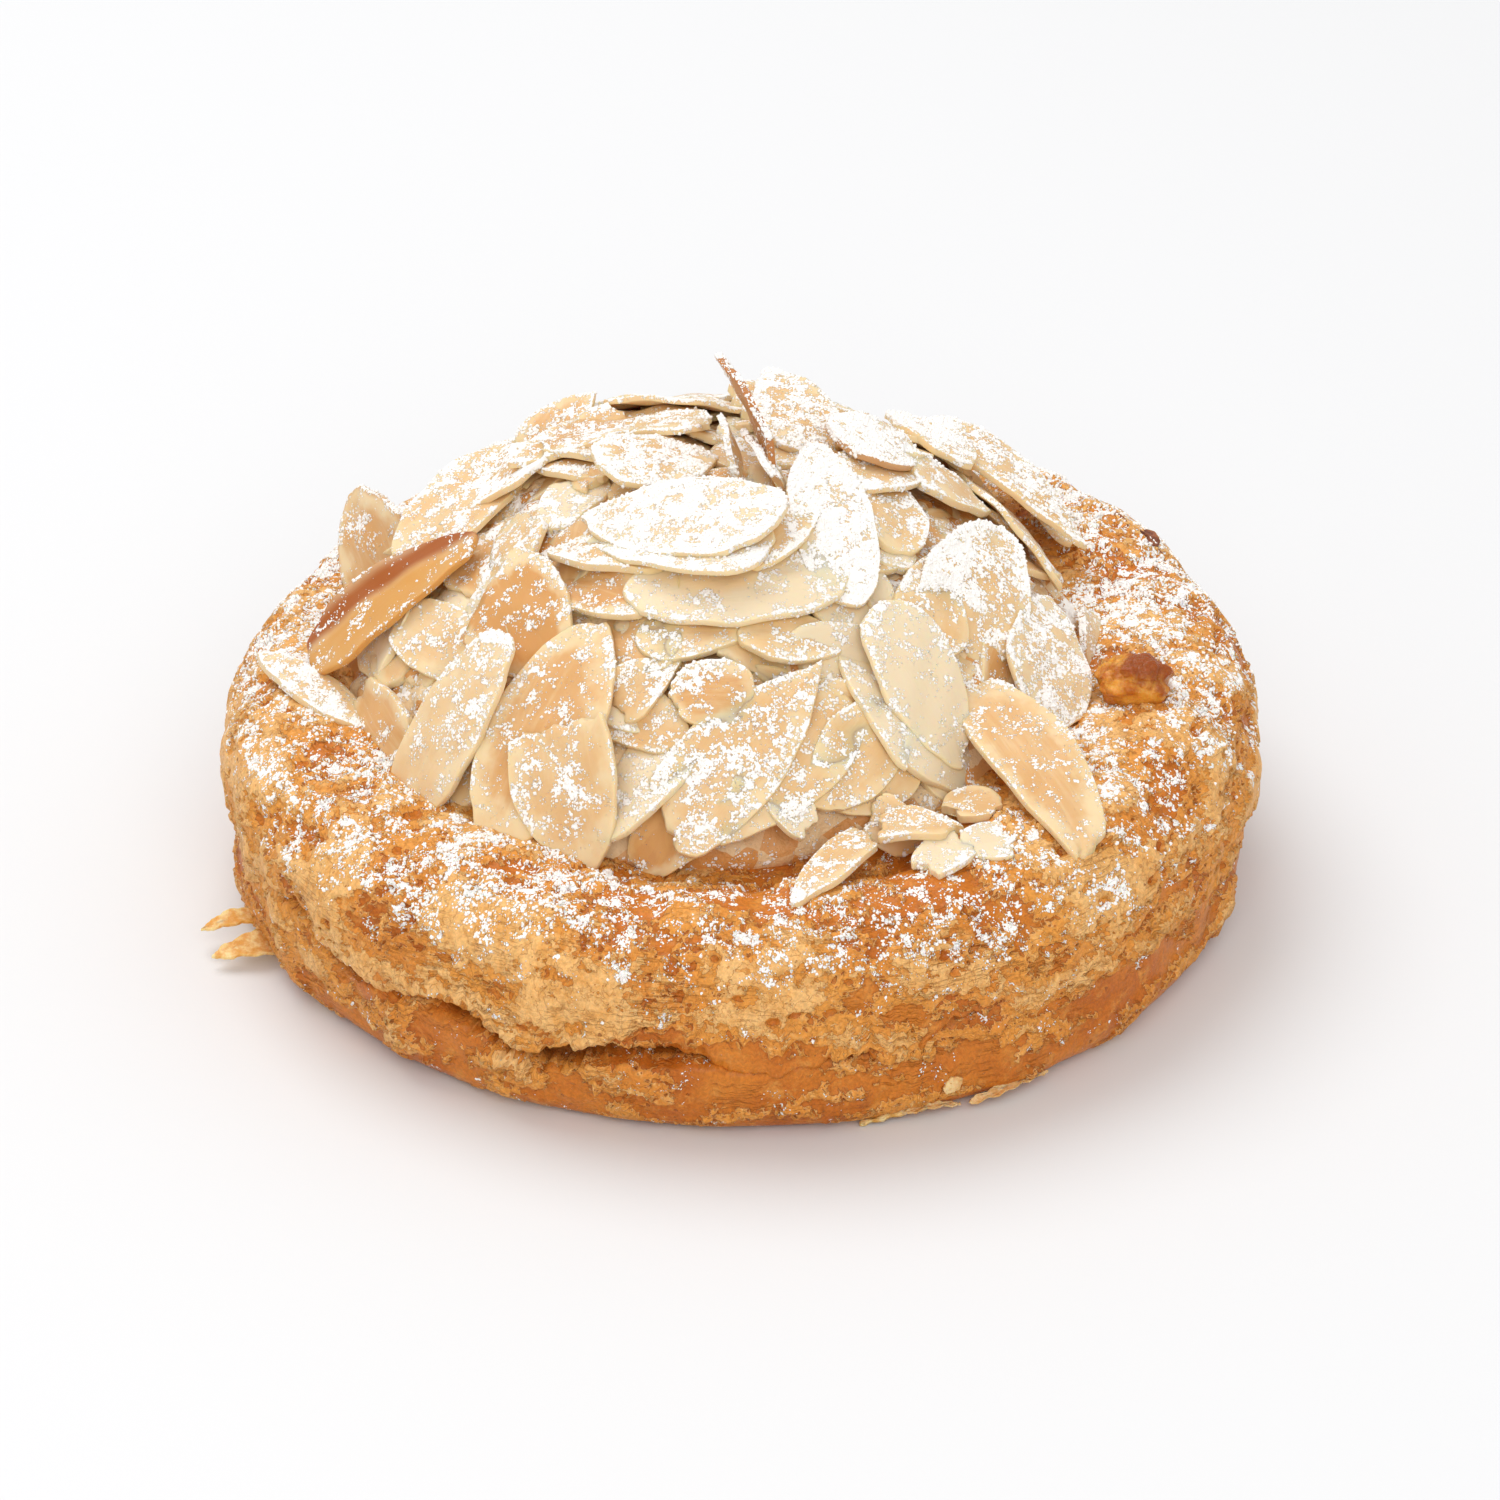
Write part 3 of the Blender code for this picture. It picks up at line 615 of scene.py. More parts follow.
def make_lid():
    recess = CREST_HEIGHT - RECESS_DEPTH
    outline = [(LID_INNER, SEAM_HEIGHT)]
    outline += even_steps([(LID_INNER, recess), (RECESS_RADIUS, recess)], LID_SPACING)[:-1]
    outline += even_steps(wall_outline(), WALL_SPACING)
    outline += [(radius, SEAM_HEIGHT + height) for radius, height in LID_LIP]
    obj = spun("pastry_lid", outline, RING_STEPS)
    points = points_of(obj)
    x, y, z = points.T
    reach = np.hypot(x, y)
    top = (reach < CREST_RADIUS) & (z > SEAM_HEIGHT + 1.0)
    share = np.clip((z - SEAM_HEIGHT) / (CREST_HEIGHT - SEAM_HEIGHT), 0.0, 1.0)
    raised = z + (crest_height(x, y) - CREST_HEIGHT) * share
    near = smooth(0.0, SEAM_HEIGHT, z) * (1.0 - smooth(SEAM_HEIGHT, 2.0 * SEAM_HEIGHT, z))
    outside = reach > CREST_RADIUS - 0.1
    raised += np.where(outside, near * (seam_height(x, y) - SEAM_HEIGHT), 0.0)
    low = 1.0 - smooth(SEAM_HEIGHT, SEAM_HEIGHT + 3.0, z)
    gap = seam_openness(x, y) * (0.5 + 1.8 * seam_mouth(x, y))
    raised += np.where(outside, low * gap, 0.0)
    curl = np.where(outside, 1.0 - low * seam_openness(x, y) * SEAM_CURL / np.maximum(reach, 1.0), 1.0)
    points[:, 0] *= curl
    points[:, 1] *= curl
    points[:, 2] = np.where(top, lid_top(x, y), raised)
    set_points(obj, points)
    return obj


def lid_top(x, y):
    """Inside the crest the lid dips at the front, and elsewhere runs up under the almonds."""
    reach = np.hypot(x, y)
    from_front = np.abs((np.degrees(np.arctan2(y, x)) - HOLLOW_MIDDLE + 180.0) % 360.0 - 180.0)
    depth = RECESS_DEPTH + (SHALLOW_DEPTH - RECESS_DEPTH) * smooth(*HOLLOW_ENDS, from_front)
    inward = np.clip((CREST_RADIUS - reach) / (CREST_RADIUS - RECESS_RADIUS), 0.0, 1.0)
    edge = crest_height(x, y) - depth * np.sin(inward * math.pi / 2.0) ** 2
    return np.maximum(edge, heap_form(x, y) - PASTRY_BELOW_HEAP)


def seam_openness(x, y):
    """1 where the seam gapes, from the left round to the front, and 0 where the lid only overhangs."""
    angle = np.degrees(np.arctan2(y, x))
    start, full, last, end = OPEN_SEAM
    return smooth(start, full, angle) * (1.0 - smooth(last, end, angle))


def seam_mouth(x, y):
    """1 where the seam is widest."""
    middle, spread = WIDEST
    return np.exp(-(((np.degrees(np.arctan2(y, x)) - middle) / spread) ** 2))


def band_radius(x, y, z):
    """The band's wall: a rounded foot, a slight bulge, and a ledge that runs in under the lid."""
    gapes = seam_openness(x, y)
    shelf = seam_height(x, y) - 0.2 - 0.5 * gapes * seam_mouth(x, y)
    radius = np.interp(z, *zip(*BAND_FOOT))
    radius += smooth(4.0, 9.0, z) * (0.6 * gapes + 0.1)
    depth = SEAM_OVERHANG + (SEAM_LEDGE - SEAM_OVERHANG) * gapes
    return radius - depth * smooth(shelf - 0.25, shelf + 0.5, z)


def make_band():
    wall = even_steps([(BASE_RADIUS, BAND_TOP), (BASE_RADIUS, 0.0)], WALL_SPACING)
    outline = [(BAND_INNER, 0.0), (BAND_INNER, BAND_TOP)] + wall + [(FOOT_INNER, 0.0), (BAND_INNER, 0.0)]
    obj = spun("pastry_band", outline, RING_STEPS)
    points = points_of(obj)
    x, y, z = points.T
    reach = np.hypot(x, y)
    grown = np.where(reach > BAND_WALL, band_radius(x, y, z) / np.maximum(reach, 1.0), 1.0)
    points[:, 0] *= grown
    points[:, 1] *= grown
    set_points(obj, points)
    return obj


def make_underside():
    """The flat base inside the band's ring, and the plug of pastry above it."""
    size = {"radius": UNDERSIDE_RADIUS * MM, "depth": UNDERSIDE_HEIGHT * MM}
    bpy.ops.mesh.primitive_cylinder_add(vertices=128, **size)
    obj = bpy.context.object
    obj.name = "pastry_underside"
    bpy.ops.object.mode_set(mode="EDIT")
    bpy.ops.mesh.select_all(action="SELECT")
    bpy.ops.transform.translate(value=(0.0, 0.0, (UNDERSIDE_HEIGHT / 2.0 + UNDERSIDE_LIFT) * MM))
    bpy.ops.mesh.select_mode(type="FACE")
    bpy.ops.mesh.inset(thickness=UNDERSIDE_INSET * MM, use_even_offset=True)
    bpy.ops.object.mode_set(mode="OBJECT")
    return obj


def roughen(obj, teeth):
    """Blisters, torn layers and a fine roughness in the crust, and teeth in the two edges along the
    seam.
    """
    chain, geometry, out = mesh_nodes(obj.name + "_relief")
    position = chain.put("GeometryNodeInputPosition").outputs[0]
    normal = chain.put("GeometryNodeInputNormal").outputs[0]
    geometry = store(chain, geometry, "rest", position, "FLOAT_VECTOR")
    place = in_millimetres(chain, stored(chain, "rest", "FLOAT_VECTOR"))
    z = chain.parts(place)[2]
    value = layer_value(chain, place)
    layers = chain.add(
        chain.times(chain.step(value, FIRST_LAYER, 0.015), 0.5),
        chain.times(chain.step(value, SECOND_LAYER, 0.015), 0.4),
    )
    blister = chain.swing(place, 11.0, 2.0, 0.5, 3.0)
    rough = chain.swing(place, 1.6, 3.0, 0.6, 0.5)
    reach = chain.reach(place)
    height = chain.add(layers, blister, rough)
    height = chain.times(height, chain.ramp(reach, 30.0, 40.0), chain.ramp(z, 0.1, 2.5))
    geometry = pushed(chain, geometry, normal, height)
    if teeth:
        tooth = chain.less(chain.noise(chain.stretch(place, (1.0, 1.0, 0.0)), 2.2, 4.0, 0.7), 0.5)
        low = chain.times(
            chain.ramp(z, 12.0, 17.0, 1.0, 0.0),
            chain.ramp(reach, 44.0, 47.0),
            chain.ramp(z, 2.0, 6.0),
        )
        geometry = pushed(chain, geometry, (0.0, 0.0, 1.0), chain.times(tooth, low, teeth))
    chain.feed(out, geometry)
    apply_nodes(obj, chain.tree)


# Torn film, burnt flecks and burnt sugar.

# Thin scraps: angle round the drum, distance out, height, length, width, heading, lean and tone.
# Heading 0 lies round the drum and 90 points out; lean 0 stands flat to the wall and 90 lies level.
SCRAPS = [
    (197.0, 54.6, 2.8, 6.4, 2.3, 88.0, 84.0, "straw"),
    (200.5, 54.0, 1.7, 7.4, 3.6, 82.0, 72.0, "straw"),
    (-72.0, 50.6, 0.8, 8.0, 0.8, 4.0, 60.0, "straw"),
    (-68.5, 51.2, 1.1, 6.0, 0.7, -3.0, 60.0, "pale"),
    (-59.0, 51.5, 1.3, 9.0, 0.9, 3.0, 50.0, "pale"),
    (-66.5, 52.3, 4.0, 2.2, 1.6, 30.0, 8.0, "pale"),
    (15.0, 50.6, 23.4, 6.5, 4.4, 5.0, 42.0, "pale"),
    (31.0, 47.4, 28.1, 5.5, 1.2, 10.0, 50.0, "burnt"),
    (27.0, 48.4, 27.7, 4.5, 1.4, 0.0, 60.0, "burnt"),
    (24.0, 48.9, 26.7, 3.8, 1.2, 20.0, 40.0, "burnt"),
]
# The name of each tone's piece, and its darker and lighter colour.
SCRAP_TONES = {
    "straw": ("film_slivers", (0.7, 0.34, 0.07), (0.9, 0.68, 0.33)),
    "pale": ("film_scraps", (0.7, 0.36, 0.11), (0.88, 0.6, 0.3)),
    "burnt": ("burnt_flecks", (0.09, 0.03, 0.02), (0.3, 0.1, 0.04)),
}
SCRAP_THICKNESS = 0.35
SCRAP_SEED = 41
LUMP_CENTRE = (39.9, -10.5, 27.8)
LUMP_SIZE = (7.6, 6.0, 5.4)


def scrap_frame(angle, reach, height, heading, lean):
    """Lays a scrap with its length round the drum and its width up the wall, then turns and leans it."""
    turn = math.radians(angle)
    out = Vector((math.cos(turn), math.sin(turn), 0.0))
    round_it = Vector((-math.sin(turn), math.cos(turn), 0.0))
    lie = Matrix((round_it, Vector((0.0, 0.0, 1.0)), out)).transposed().to_4x4()
    if heading > 45.0:
        lie = Matrix((out, -round_it, Vector((0.0, 0.0, 1.0)))).transposed().to_4x4()
        heading -= 90.0
        lean -= 90.0
    tilt = Matrix.Rotation(math.radians(heading), 4, "Z") @ Matrix.Rotation(math.radians(-lean), 4, "X")
    return Matrix.Translation(out * reach + Vector((0.0, 0.0, height))) @ lie @ tilt


def make_scraps(name, tone):
    draw = random.Random(SCRAP_SEED)
    blank = almond_blank(SCRAP_MESH)
    sphere = points_of(blank)
    pieces = []
    for angle, reach, height, length, width, heading, lean, kind in SCRAPS:
        if kind != tone:
            continue
        points, _ = slice_points(sphere, length, width, draw, SCRAP_THICKNESS, ())
        ragged = 0.12 * np.sin(points[:, 0] * 3.1 + 1.0) + 0.06 * np.sin(points[:, 0] * 9.7)
        points[:, 1] += ragged * np.sign(points[:, 1])
        pieces.append(laid(blank, points, scrap_frame(angle, reach, height, heading, lean)))
    bpy.data.objects.remove(blank)
    return joined(pieces, name)


def make_lump():
    """Burnt sugar that has run out on the right of the crest, grainy, with a glassy cap."""
    bpy.ops.mesh.primitive_uv_sphere_add(segments=160, ring_count=80, radius=0.5 * MM)
    obj = bpy.context.object
    obj.name = "burnt_sugar"
    points = points_of(obj)
    x, y, z = points.T
    swell = 1.0 + 0.1 * np.sin(x * 6.0 + 1.0) * np.cos(y * 5.0) + 0.06 * np.sin(y * 11.0 + z * 8.0)
    set_points(obj, points * swell[:, None] * np.array(LUMP_SIZE) + np.array(LUMP_CENTRE))
    crumble(obj, 1.5, 0.8, 0.6)
    return obj


# The almonds.


def almond_outline(across, blunt, pointed):
    top = blunt / (blunt + pointed)
    widest = top**blunt * (1.0 - top) ** pointed
    return 0.5 * across**blunt * (1.0 - across) ** pointed / widest


def almond_frame(x, y, heading, lift, pitch, roll):
    """Where an almond lies: on the heap's form, along its slope, then pitched and rolled."""
    slope_x = (heap_form(x + 1.0, y) - heap_form(x - 1.0, y)) / 2.0
    slope_y = (heap_form(x, y + 1.0) - heap_form(x, y - 1.0)) / 2.0
    up = Vector((-slope_x, -slope_y, 1.0)).normalized()
    along = Vector((math.cos(heading), math.sin(heading), 0.0))
    along = (along - up * along.dot(up)).normalized()
    side = up.cross(along)
    lie = Matrix((along, side, up)).transposed().to_4x4()
    tilt = Matrix.Rotation(-pitch, 4, "Y") @ Matrix.Rotation(roll, 4, "X")
    return Matrix.Translation((x, y, heap_form(x, y) + lift)) @ lie @ tilt


def shown_almonds():
    """(frame, length, width, tone, broken ends) of each almond that the front shows."""
    for x, y, heading, length, width, lift, pitch, roll, tone, broken in SHOWN_ALMONDS:
        angles = [math.radians(angle) for angle in (heading, pitch, roll)]
        placed = almond_frame(x, y, angles[0], lift, angles[1], angles[2])
        yield placed, length, width, tone, BREAKS[broken]


def back_almonds():
    draw = random.Random(BACK_SEED)
    for radius, count, first, last, lift in BACK_RINGS:
        for number in range(count):
            angle = math.radians(first + (last - first) * number / (count - 1) + draw.uniform(-6, 6))
            x = HEAP_CENTRE[0] + radius * math.cos(angle)
            y = HEAP_CENTRE[1] + radius * math.sin(angle)
            heading = angle + math.radians(draw.uniform(-80.0, 80.0))
            pitch = math.radians(draw.uniform(-8.0, 8.0))
            roll = math.radians(draw.uniform(-12.0, 12.0))
            placed = almond_frame(x, y, heading, lift, pitch, roll)
            tone = BACK_TONES[number % len(BACK_TONES)]
            yield placed, draw.uniform(*BACK_LENGTH), draw.uniform(*BACK_WIDTH), tone, None


BROKEN_COUNT = 120
BROKEN_REACH = 34.0
BROKEN_LENGTH = (7.0, 14.0)
BROKEN_SEED = 23


def broken_almonds():
    """Small broken slices half sunk in the bed, in an even spiral over the whole heap."""
    draw = random.Random(BROKEN_SEED)
    for number in range(BROKEN_COUNT):
        turn = number * math.pi * (3.0 - math.sqrt(5.0))
        radius = BROKEN_REACH * math.sqrt((number + 0.5) / BROKEN_COUNT)
        x = HEAP_CENTRE[0] + radius * math.cos(turn) + draw.uniform(-1.0, 1.0)
        y = HEAP_CENTRE[1] + radius * math.sin(turn) + draw.uniform(-1.0, 1.0)
        heading = draw.uniform(0.0, 2.0 * math.pi)
        wild = 1.0 if y > 8.0 else 0.45
        pitch = math.radians(draw.uniform(-18.0, 18.0) * wild)
        roll = math.radians(draw.uniform(-40.0, 40.0) * wild)
        length = draw.uniform(*BROKEN_LENGTH)
        placed = almond_frame(x, y, heading, draw.uniform(-2.2, -1.2 + 0.8 * wild), pitch, roll)
        tone = draw.choice(("cream", "golden", "tan", "ivory", "ivory"))
        yield placed, length, length * draw.uniform(0.45, 0.65), tone, BREAKS["both"]


def almond_blank(fineness):
    """A sphere whose rings become the two faces and the rounded rim of a slice."""
    segments, rings = fineness
    bpy.ops.mesh.primitive_uv_sphere_add(segments=segments, ring_count=rings, radius=MM)
    obj = bpy.context.object
    obj.name = "almond_blank"
    return obj


def snapped(x, y, length, draw, end, kept):
    """One end of a slice broken off along a rough straight line."""
    slant = draw.uniform(-0.7, 0.7)
    wave = draw.uniform(0.0, 6.0)
    reach = end * x * math.cos(slant) + y * math.sin(slant)
    limit = length * kept + 0.25 * np.sin(2.2 * y + wave) + 0.12 * np.sin(6.0 * y + wave)
    over = np.maximum(reach - limit, 0.0) * 0.97
    return x - end * over * math.cos(slant), y - over * math.sin(slant)


def slice_points(sphere, length, width, draw, depth=ALMOND_THICKNESS, breaks=None):
    """The sphere's points as one sliced almond about its own centre, and where each lies on it."""
    face_rings = 0.66
    face_share = 0.955
    polar = np.arccos(np.clip(np.abs(sphere[:, 2]), 0.0, 1.0)) / (math.pi / 2.0)
    turn = np.arctan2(sphere[:, 1], sphere[:, 0])
    face = np.minimum(polar / face_rings, 1.0)
    edge = np.clip((polar - face_rings) / (1.0 - face_rings), 0.0, 1.0) * math.pi / 2.0
    out = face_share * face + (1.0 - face_share) * np.sqrt(np.sin(edge))
    wobble = 1.0
    for waves in (2, 3, 5, 8, 12, 17):
        wobble = wobble + 0.09 / waves * np.sin(waves * turn + draw.uniform(0.0, 2.0 * math.pi))
    along = np.cos(turn)
    blunt = BLUNT_END * draw.uniform(0.75, 1.1)
    pointed = POINTED_END * draw.uniform(0.7, 1.1)
    half = np.sign(np.sin(turn)) * almond_outline(np.clip((1.0 + along) / 2.0, 0.0, 1.0), blunt, pointed)
    half = np.where(np.abs(np.sin(turn)) < 0.01, 0.0, half)
    half = half * (1.0 + draw.uniform(-0.22, 0.22) * np.sign(half))
    x = out * along * length / 2.0 * wobble
    y = out * half * width * wobble
    if breaks is None:
        broken_end = (draw.choice((-1.0, 1.0)), draw.uniform(0.3, 0.42))
        breaks = (broken_end,) if draw.random() < BROKEN_SHARE else ()
    for end, kept in breaks:
        x, y = snapped(x, y, length, draw, end, kept)
    thickness = depth * draw.uniform(0.8, 1.15)
    z = np.sign(sphere[:, 2]) * np.sqrt(np.maximum(np.cos(edge), 0.0)) * thickness / 2.0
    z += ALMOND_CAMBER * length * (0.5 - (out * along) ** 2)
    curl = draw.uniform(-0.5, 0.9)
    z += curl * (y / (width / 2.0)) ** 2 * 0.5
    twist = draw.uniform(-0.25, 0.25)
    z += twist * (x / length) * y
    z += 0.16 * np.sin(x * 0.9 + draw.uniform(0, 6)) * np.cos(y * 1.1 + draw.uniform(0, 6))
    leaf = np.stack([out * along, 2.0 * out * half, out], axis=1)
    return np.stack([x, y, z], axis=1), leaf


def make_almonds(name, almonds, seed, fineness=ALMOND_MESH):
    """Slices laid and joined, each point marked with its place on the slice and its tone."""
    draw = random.Random(seed)
    blank = almond_blank(fineness)
    sphere = points_of(blank)
    slices = []
    for placed, length, width, tone, breaks in almonds:
        points, leaf = slice_points(sphere, length, width, draw, breaks=breaks)
        copy = laid(blank, points, placed)
        where = copy.data.attributes.new("leaf", "FLOAT_VECTOR", "POINT")
        where.data.foreach_set("vector", leaf.astype(np.float32).ravel())
        middle, rim, half, sugar = TONES[tone]
        toast = (middle * draw.uniform(0.8, 1.2), rim * draw.uniform(0.8, 1.1), half)
        look = (*toast, sugar * draw.uniform(0.8, 1.2))
        baked = copy.data.attributes.new("baked", "FLOAT_COLOR", "POINT")
        baked.data.foreach_set("color", np.tile(np.array(look, np.float32), len(points)))
        slices.append(copy)
    bpy.data.objects.remove(blank)
    return joined(slices, name)


BED_SPACING = 0.55
BED_BELOW_SPACING = 4.0
BED_STEPS = 400


def make_bed():
    """The bed of broken almond and sugar under the slices, closed below."""
    outline = even_steps([(0.0, 1.0), (BED_RADIUS, 1.0)], BED_SPACING)
    outline += even_steps([(BED_RADIUS, 0.0), (0.0, 0.0)], BED_BELOW_SPACING)
    obj = spun("almond_bed", outline, BED_STEPS)
    points = points_of(obj)
    x = points[:, 0] + HEAP_CENTRE[0]
    y = points[:, 1] + HEAP_CENTRE[1]
    rim = 1.0 - smooth(BED_RADIUS - 3.0, BED_RADIUS, np.hypot(points[:, 0], points[:, 1]))
    top = np.maximum(heap_form(x, y) - BED_DEPTH, pastry_top(x, y) + 0.3 + 0.6 * rim)
    under = pastry_top(x, y) - 1.5
    points = np.stack([x, y, np.where(points[:, 2] > 0.5, top, under)], axis=1)
    set_points(obj, points)
    crumble(obj, 3.2, 1.6, 1.4)
    return obj


# How open each piece is to the sky.

SKY_RAYS = 10
SKY_SPREAD = 42.0
SKY_REACH = 60.0
SKY_START = 0.12


def mesh_of(chain, obj):
    return chain.put("GeometryNodeObjectInfo", {0: obj}, transform_space="ORIGINAL").outputs["Geometry"]


def mark_sky(pieces):
    """Stores the share of rays from each point that reach the sky, for where sugar falls and, on the
    almonds, for painted warm shade.
    """
    casters = joined([copied(piece) for piece in pieces], "casters")
    for piece in pieces:
        chain, geometry, out = mesh_nodes(piece.name + "_sky")
        target = mesh_of(chain, casters)
        position = chain.put("GeometryNodeInputPosition").outputs[0]
        normal = chain.put("GeometryNodeInputNormal").outputs[0]
        lifted = {0: position, 1: chain.scaled(normal, SKY_START * MM)}
        start = chain.put("ShaderNodeVectorMath", lifted, operation="ADD")
        hits = 0.0
        for ray in range(SKY_RAYS):
            turn = ray * math.pi * (3.0 - math.sqrt(5.0))
            lean = math.radians(SKY_SPREAD) * math.sqrt((ray + 0.5) / SKY_RAYS)
            towards = (math.sin(lean) * math.cos(turn), math.sin(lean) * math.sin(turn), math.cos(lean))
            cast = chain.put("GeometryNodeRaycast", {"Target Geometry": target})
            chain.feed(cast.inputs["Source Position"], start.outputs[0])
            chain.feed(cast.inputs["Ray Direction"], towards)
            chain.feed(cast.inputs["Ray Length"], SKY_REACH * MM)
            hits = chain.add(hits, cast.outputs["Is Hit"])
        sky = chain.less(1.0, chain.times(hits, 1.0 / SKY_RAYS))
        chain.feed(out, store(chain, geometry, "sky", sky))
        apply_nodes(piece, chain.tree)
    bpy.data.objects.remove(casters)


# Grains of sugar.


def scatter_grains(name, ground, fall, number, seed, sizes):
    """Real grains on a piece, where the sugar in its material lies, realised as one mesh."""
    bpy.ops.mesh.primitive_ico_sphere_add(subdivisions=1, radius=MM)
    obj = bpy.context.object
    obj.name = name
    chain, geometry, out = mesh_nodes(name)
    place = in_millimetres(chain, chain.put("GeometryNodeInputPosition").outputs[0])
    facing = chain.parts(chain.put("GeometryNodeInputNormal").outputs[0])[2]
    density = fall(chain, place, facing)
    share = chain.maths("SUBTRACT", powder_amount(chain, place, density), 0.35, clamp=True)
    where = {"Mesh": mesh_of(chain, ground), "Seed": seed}
    points = chain.put("GeometryNodeDistributePointsOnFaces", where)
    chain.feed(points.inputs["Density"], chain.times(share, number))
    size = {2: sizes[0], 3: sizes[1], "Seed": seed + 2}
    size = chain.put("FunctionNodeRandomValue", size, data_type="FLOAT")
    turn = {0: (0.0, 0.0, 0.0), 1: (6.3, 6.3, 6.3), "Seed": seed + 3}
    turned = chain.put("FunctionNodeRandomValue", turn, data_type="FLOAT_VECTOR")
    grain = chain.put("GeometryNodeMeshUVSphere", {"Segments": 4, "Rings": 2, "Radius": MM})
    placed = chain.put("GeometryNodeInstanceOnPoints", {"Points": points.outputs[0]})
    chain.feed(placed.inputs["Instance"], grain.outputs[0])
    chain.feed(placed.inputs["Rotation"], turned.outputs[0])
    chain.feed(placed.inputs["Scale"], size.outputs[1])
    chain.feed(out, chain.put("GeometryNodeRealizeInstances", {0: placed.outputs[0]}).outputs[0])
    apply_nodes(obj, chain.tree)
    return obj


# Materials.


def new_material(name):
    material = bpy.data.materials.new(name)
    material.use_nodes = True
    chain = Chain(material.node_tree)
    shader = material.node_tree.nodes["Principled BSDF"]
    shader.inputs["Metallic"].default_value = 0.0
    return material, chain, shader


def paint(chain, shader, colour, roughness, specular=0.5):
    chain.feed(shader.inputs["Base Color"], colour)
    chain.feed(shader.inputs["Roughness"], roughness)
    shader.inputs["Specular IOR Level"].default_value = specular


def soften(chain, shader, weight, radius, depth):
    """Lets light in, that many millimetres deep, with a share of the depth for red, green and blue."""
    chain.feed(shader.inputs["Subsurface Weight"], weight)
    shader.inputs["Subsurface Radius"].default_value = radius
    shader.inputs["Subsurface Scale"].default_value = depth * MM


def bump(chain, shader, relief):
    """The finest relief, in millimetres, which only bends the light."""
    inputs = {"Height": relief, "Distance": MM, "Strength": 0.8}
    chain.feed(shader.inputs["Normal"], chain.put("ShaderNodeBump", inputs).outputs[0])


def attribute(chain, name):
    return chain.put("ShaderNodeAttribute", attribute_name=name).outputs


def place_now(chain):
    """A place on the finished piece, in millimetres."""
    return in_millimetres(chain, chain.put("ShaderNodeTexCoord").outputs["Object"])


def facing_up(chain):
    return chain.parts(chain.put("ShaderNodeNewGeometry").outputs["Normal"])[2]


SUGAR = (0.98, 0.945, 0.9)


def layer_colours(chain, place, first, second, speckle):
    """The bare crust, darker on the crest, then a thin paler layer and the palest one over it."""
    tone = chain.noise(place, 12.0, 3.0, 0.6)
    crest = chain.ramp(chain.parts(place)[2], 20.0, 24.5)
    bare = chain.blend(chain.ramp(tone, 0.38, 0.62), (0.61, 0.197, 0.023), (0.49, 0.13, 0.014))
    bare = chain.stain(bare, crest, 0.8, (0.56, 0.16, 0.014))
    bare = chain.blend(chain.ramp(speckle, 0.5, 0.68), bare, (0.64, 0.25, 0.045))
    thin = chain.blend(chain.ramp(tone, 0.4, 0.65), (0.73, 0.3, 0.053), (0.66, 0.235, 0.035))
    thin = chain.blend(chain.ramp(speckle, 0.5, 0.66), thin, (0.78, 0.4, 0.118))
    pale = chain.blend(chain.ramp(speckle, 0.36, 0.62), (0.72, 0.345, 0.09), (0.83, 0.475, 0.175))
    return chain.blend(second, chain.blend(first, bare, thin), pale)


def torn_edge_shade_and_highlight(chain, value, first, second, colour):
    """Painted shade as a dark line beside each torn edge, and a painted highlight as a light line along
    it.
    """
    # Painted shade: the crust is darkened just outside each layer's torn edge, where the layer above
    # shades it.
    shade = chain.times(chain.ramp(value, FIRST_LAYER - 0.035, FIRST_LAYER), chain.less(1.0, first))
    under = chain.ramp(value, SECOND_LAYER - 0.03, SECOND_LAYER)
    under = chain.times(under, chain.less(1.0, second), 0.6)
    colour = chain.stain(colour, chain.add(shade, under), 0.6, (0.33, 0.075, 0.008))
    # Painted highlight: the crust is lightened just inside each torn edge, where the lifted edge catches
    # the light.
    rim = chain.times(first, chain.ramp(value, FIRST_LAYER, FIRST_LAYER + 0.02, 1.0, 0.0))
    second_painted_highlight = chain.times(second, chain.ramp(value, SECOND_LAYER, SECOND_LAYER + 0.02, 1.0, 0.0))
    return chain.stain(colour, chain.add(rim, second_painted_highlight), 0.5, (0.92, 0.62, 0.3))


def painted_seam_shade(chain):
    """1 on the surfaces that lie inside the seam, where the crust is darkened as painted shade."""
    now = place_now(chain)
    z = chain.parts(now)[2]
    inside = chain.ramp(chain.reach(now), 50.0, 51.9, 1.0, 0.0)
    return chain.times(inside, chain.ramp(z, 2.5, 4.0), chain.ramp(z, 16.0, 18.0, 1.0, 0.0))


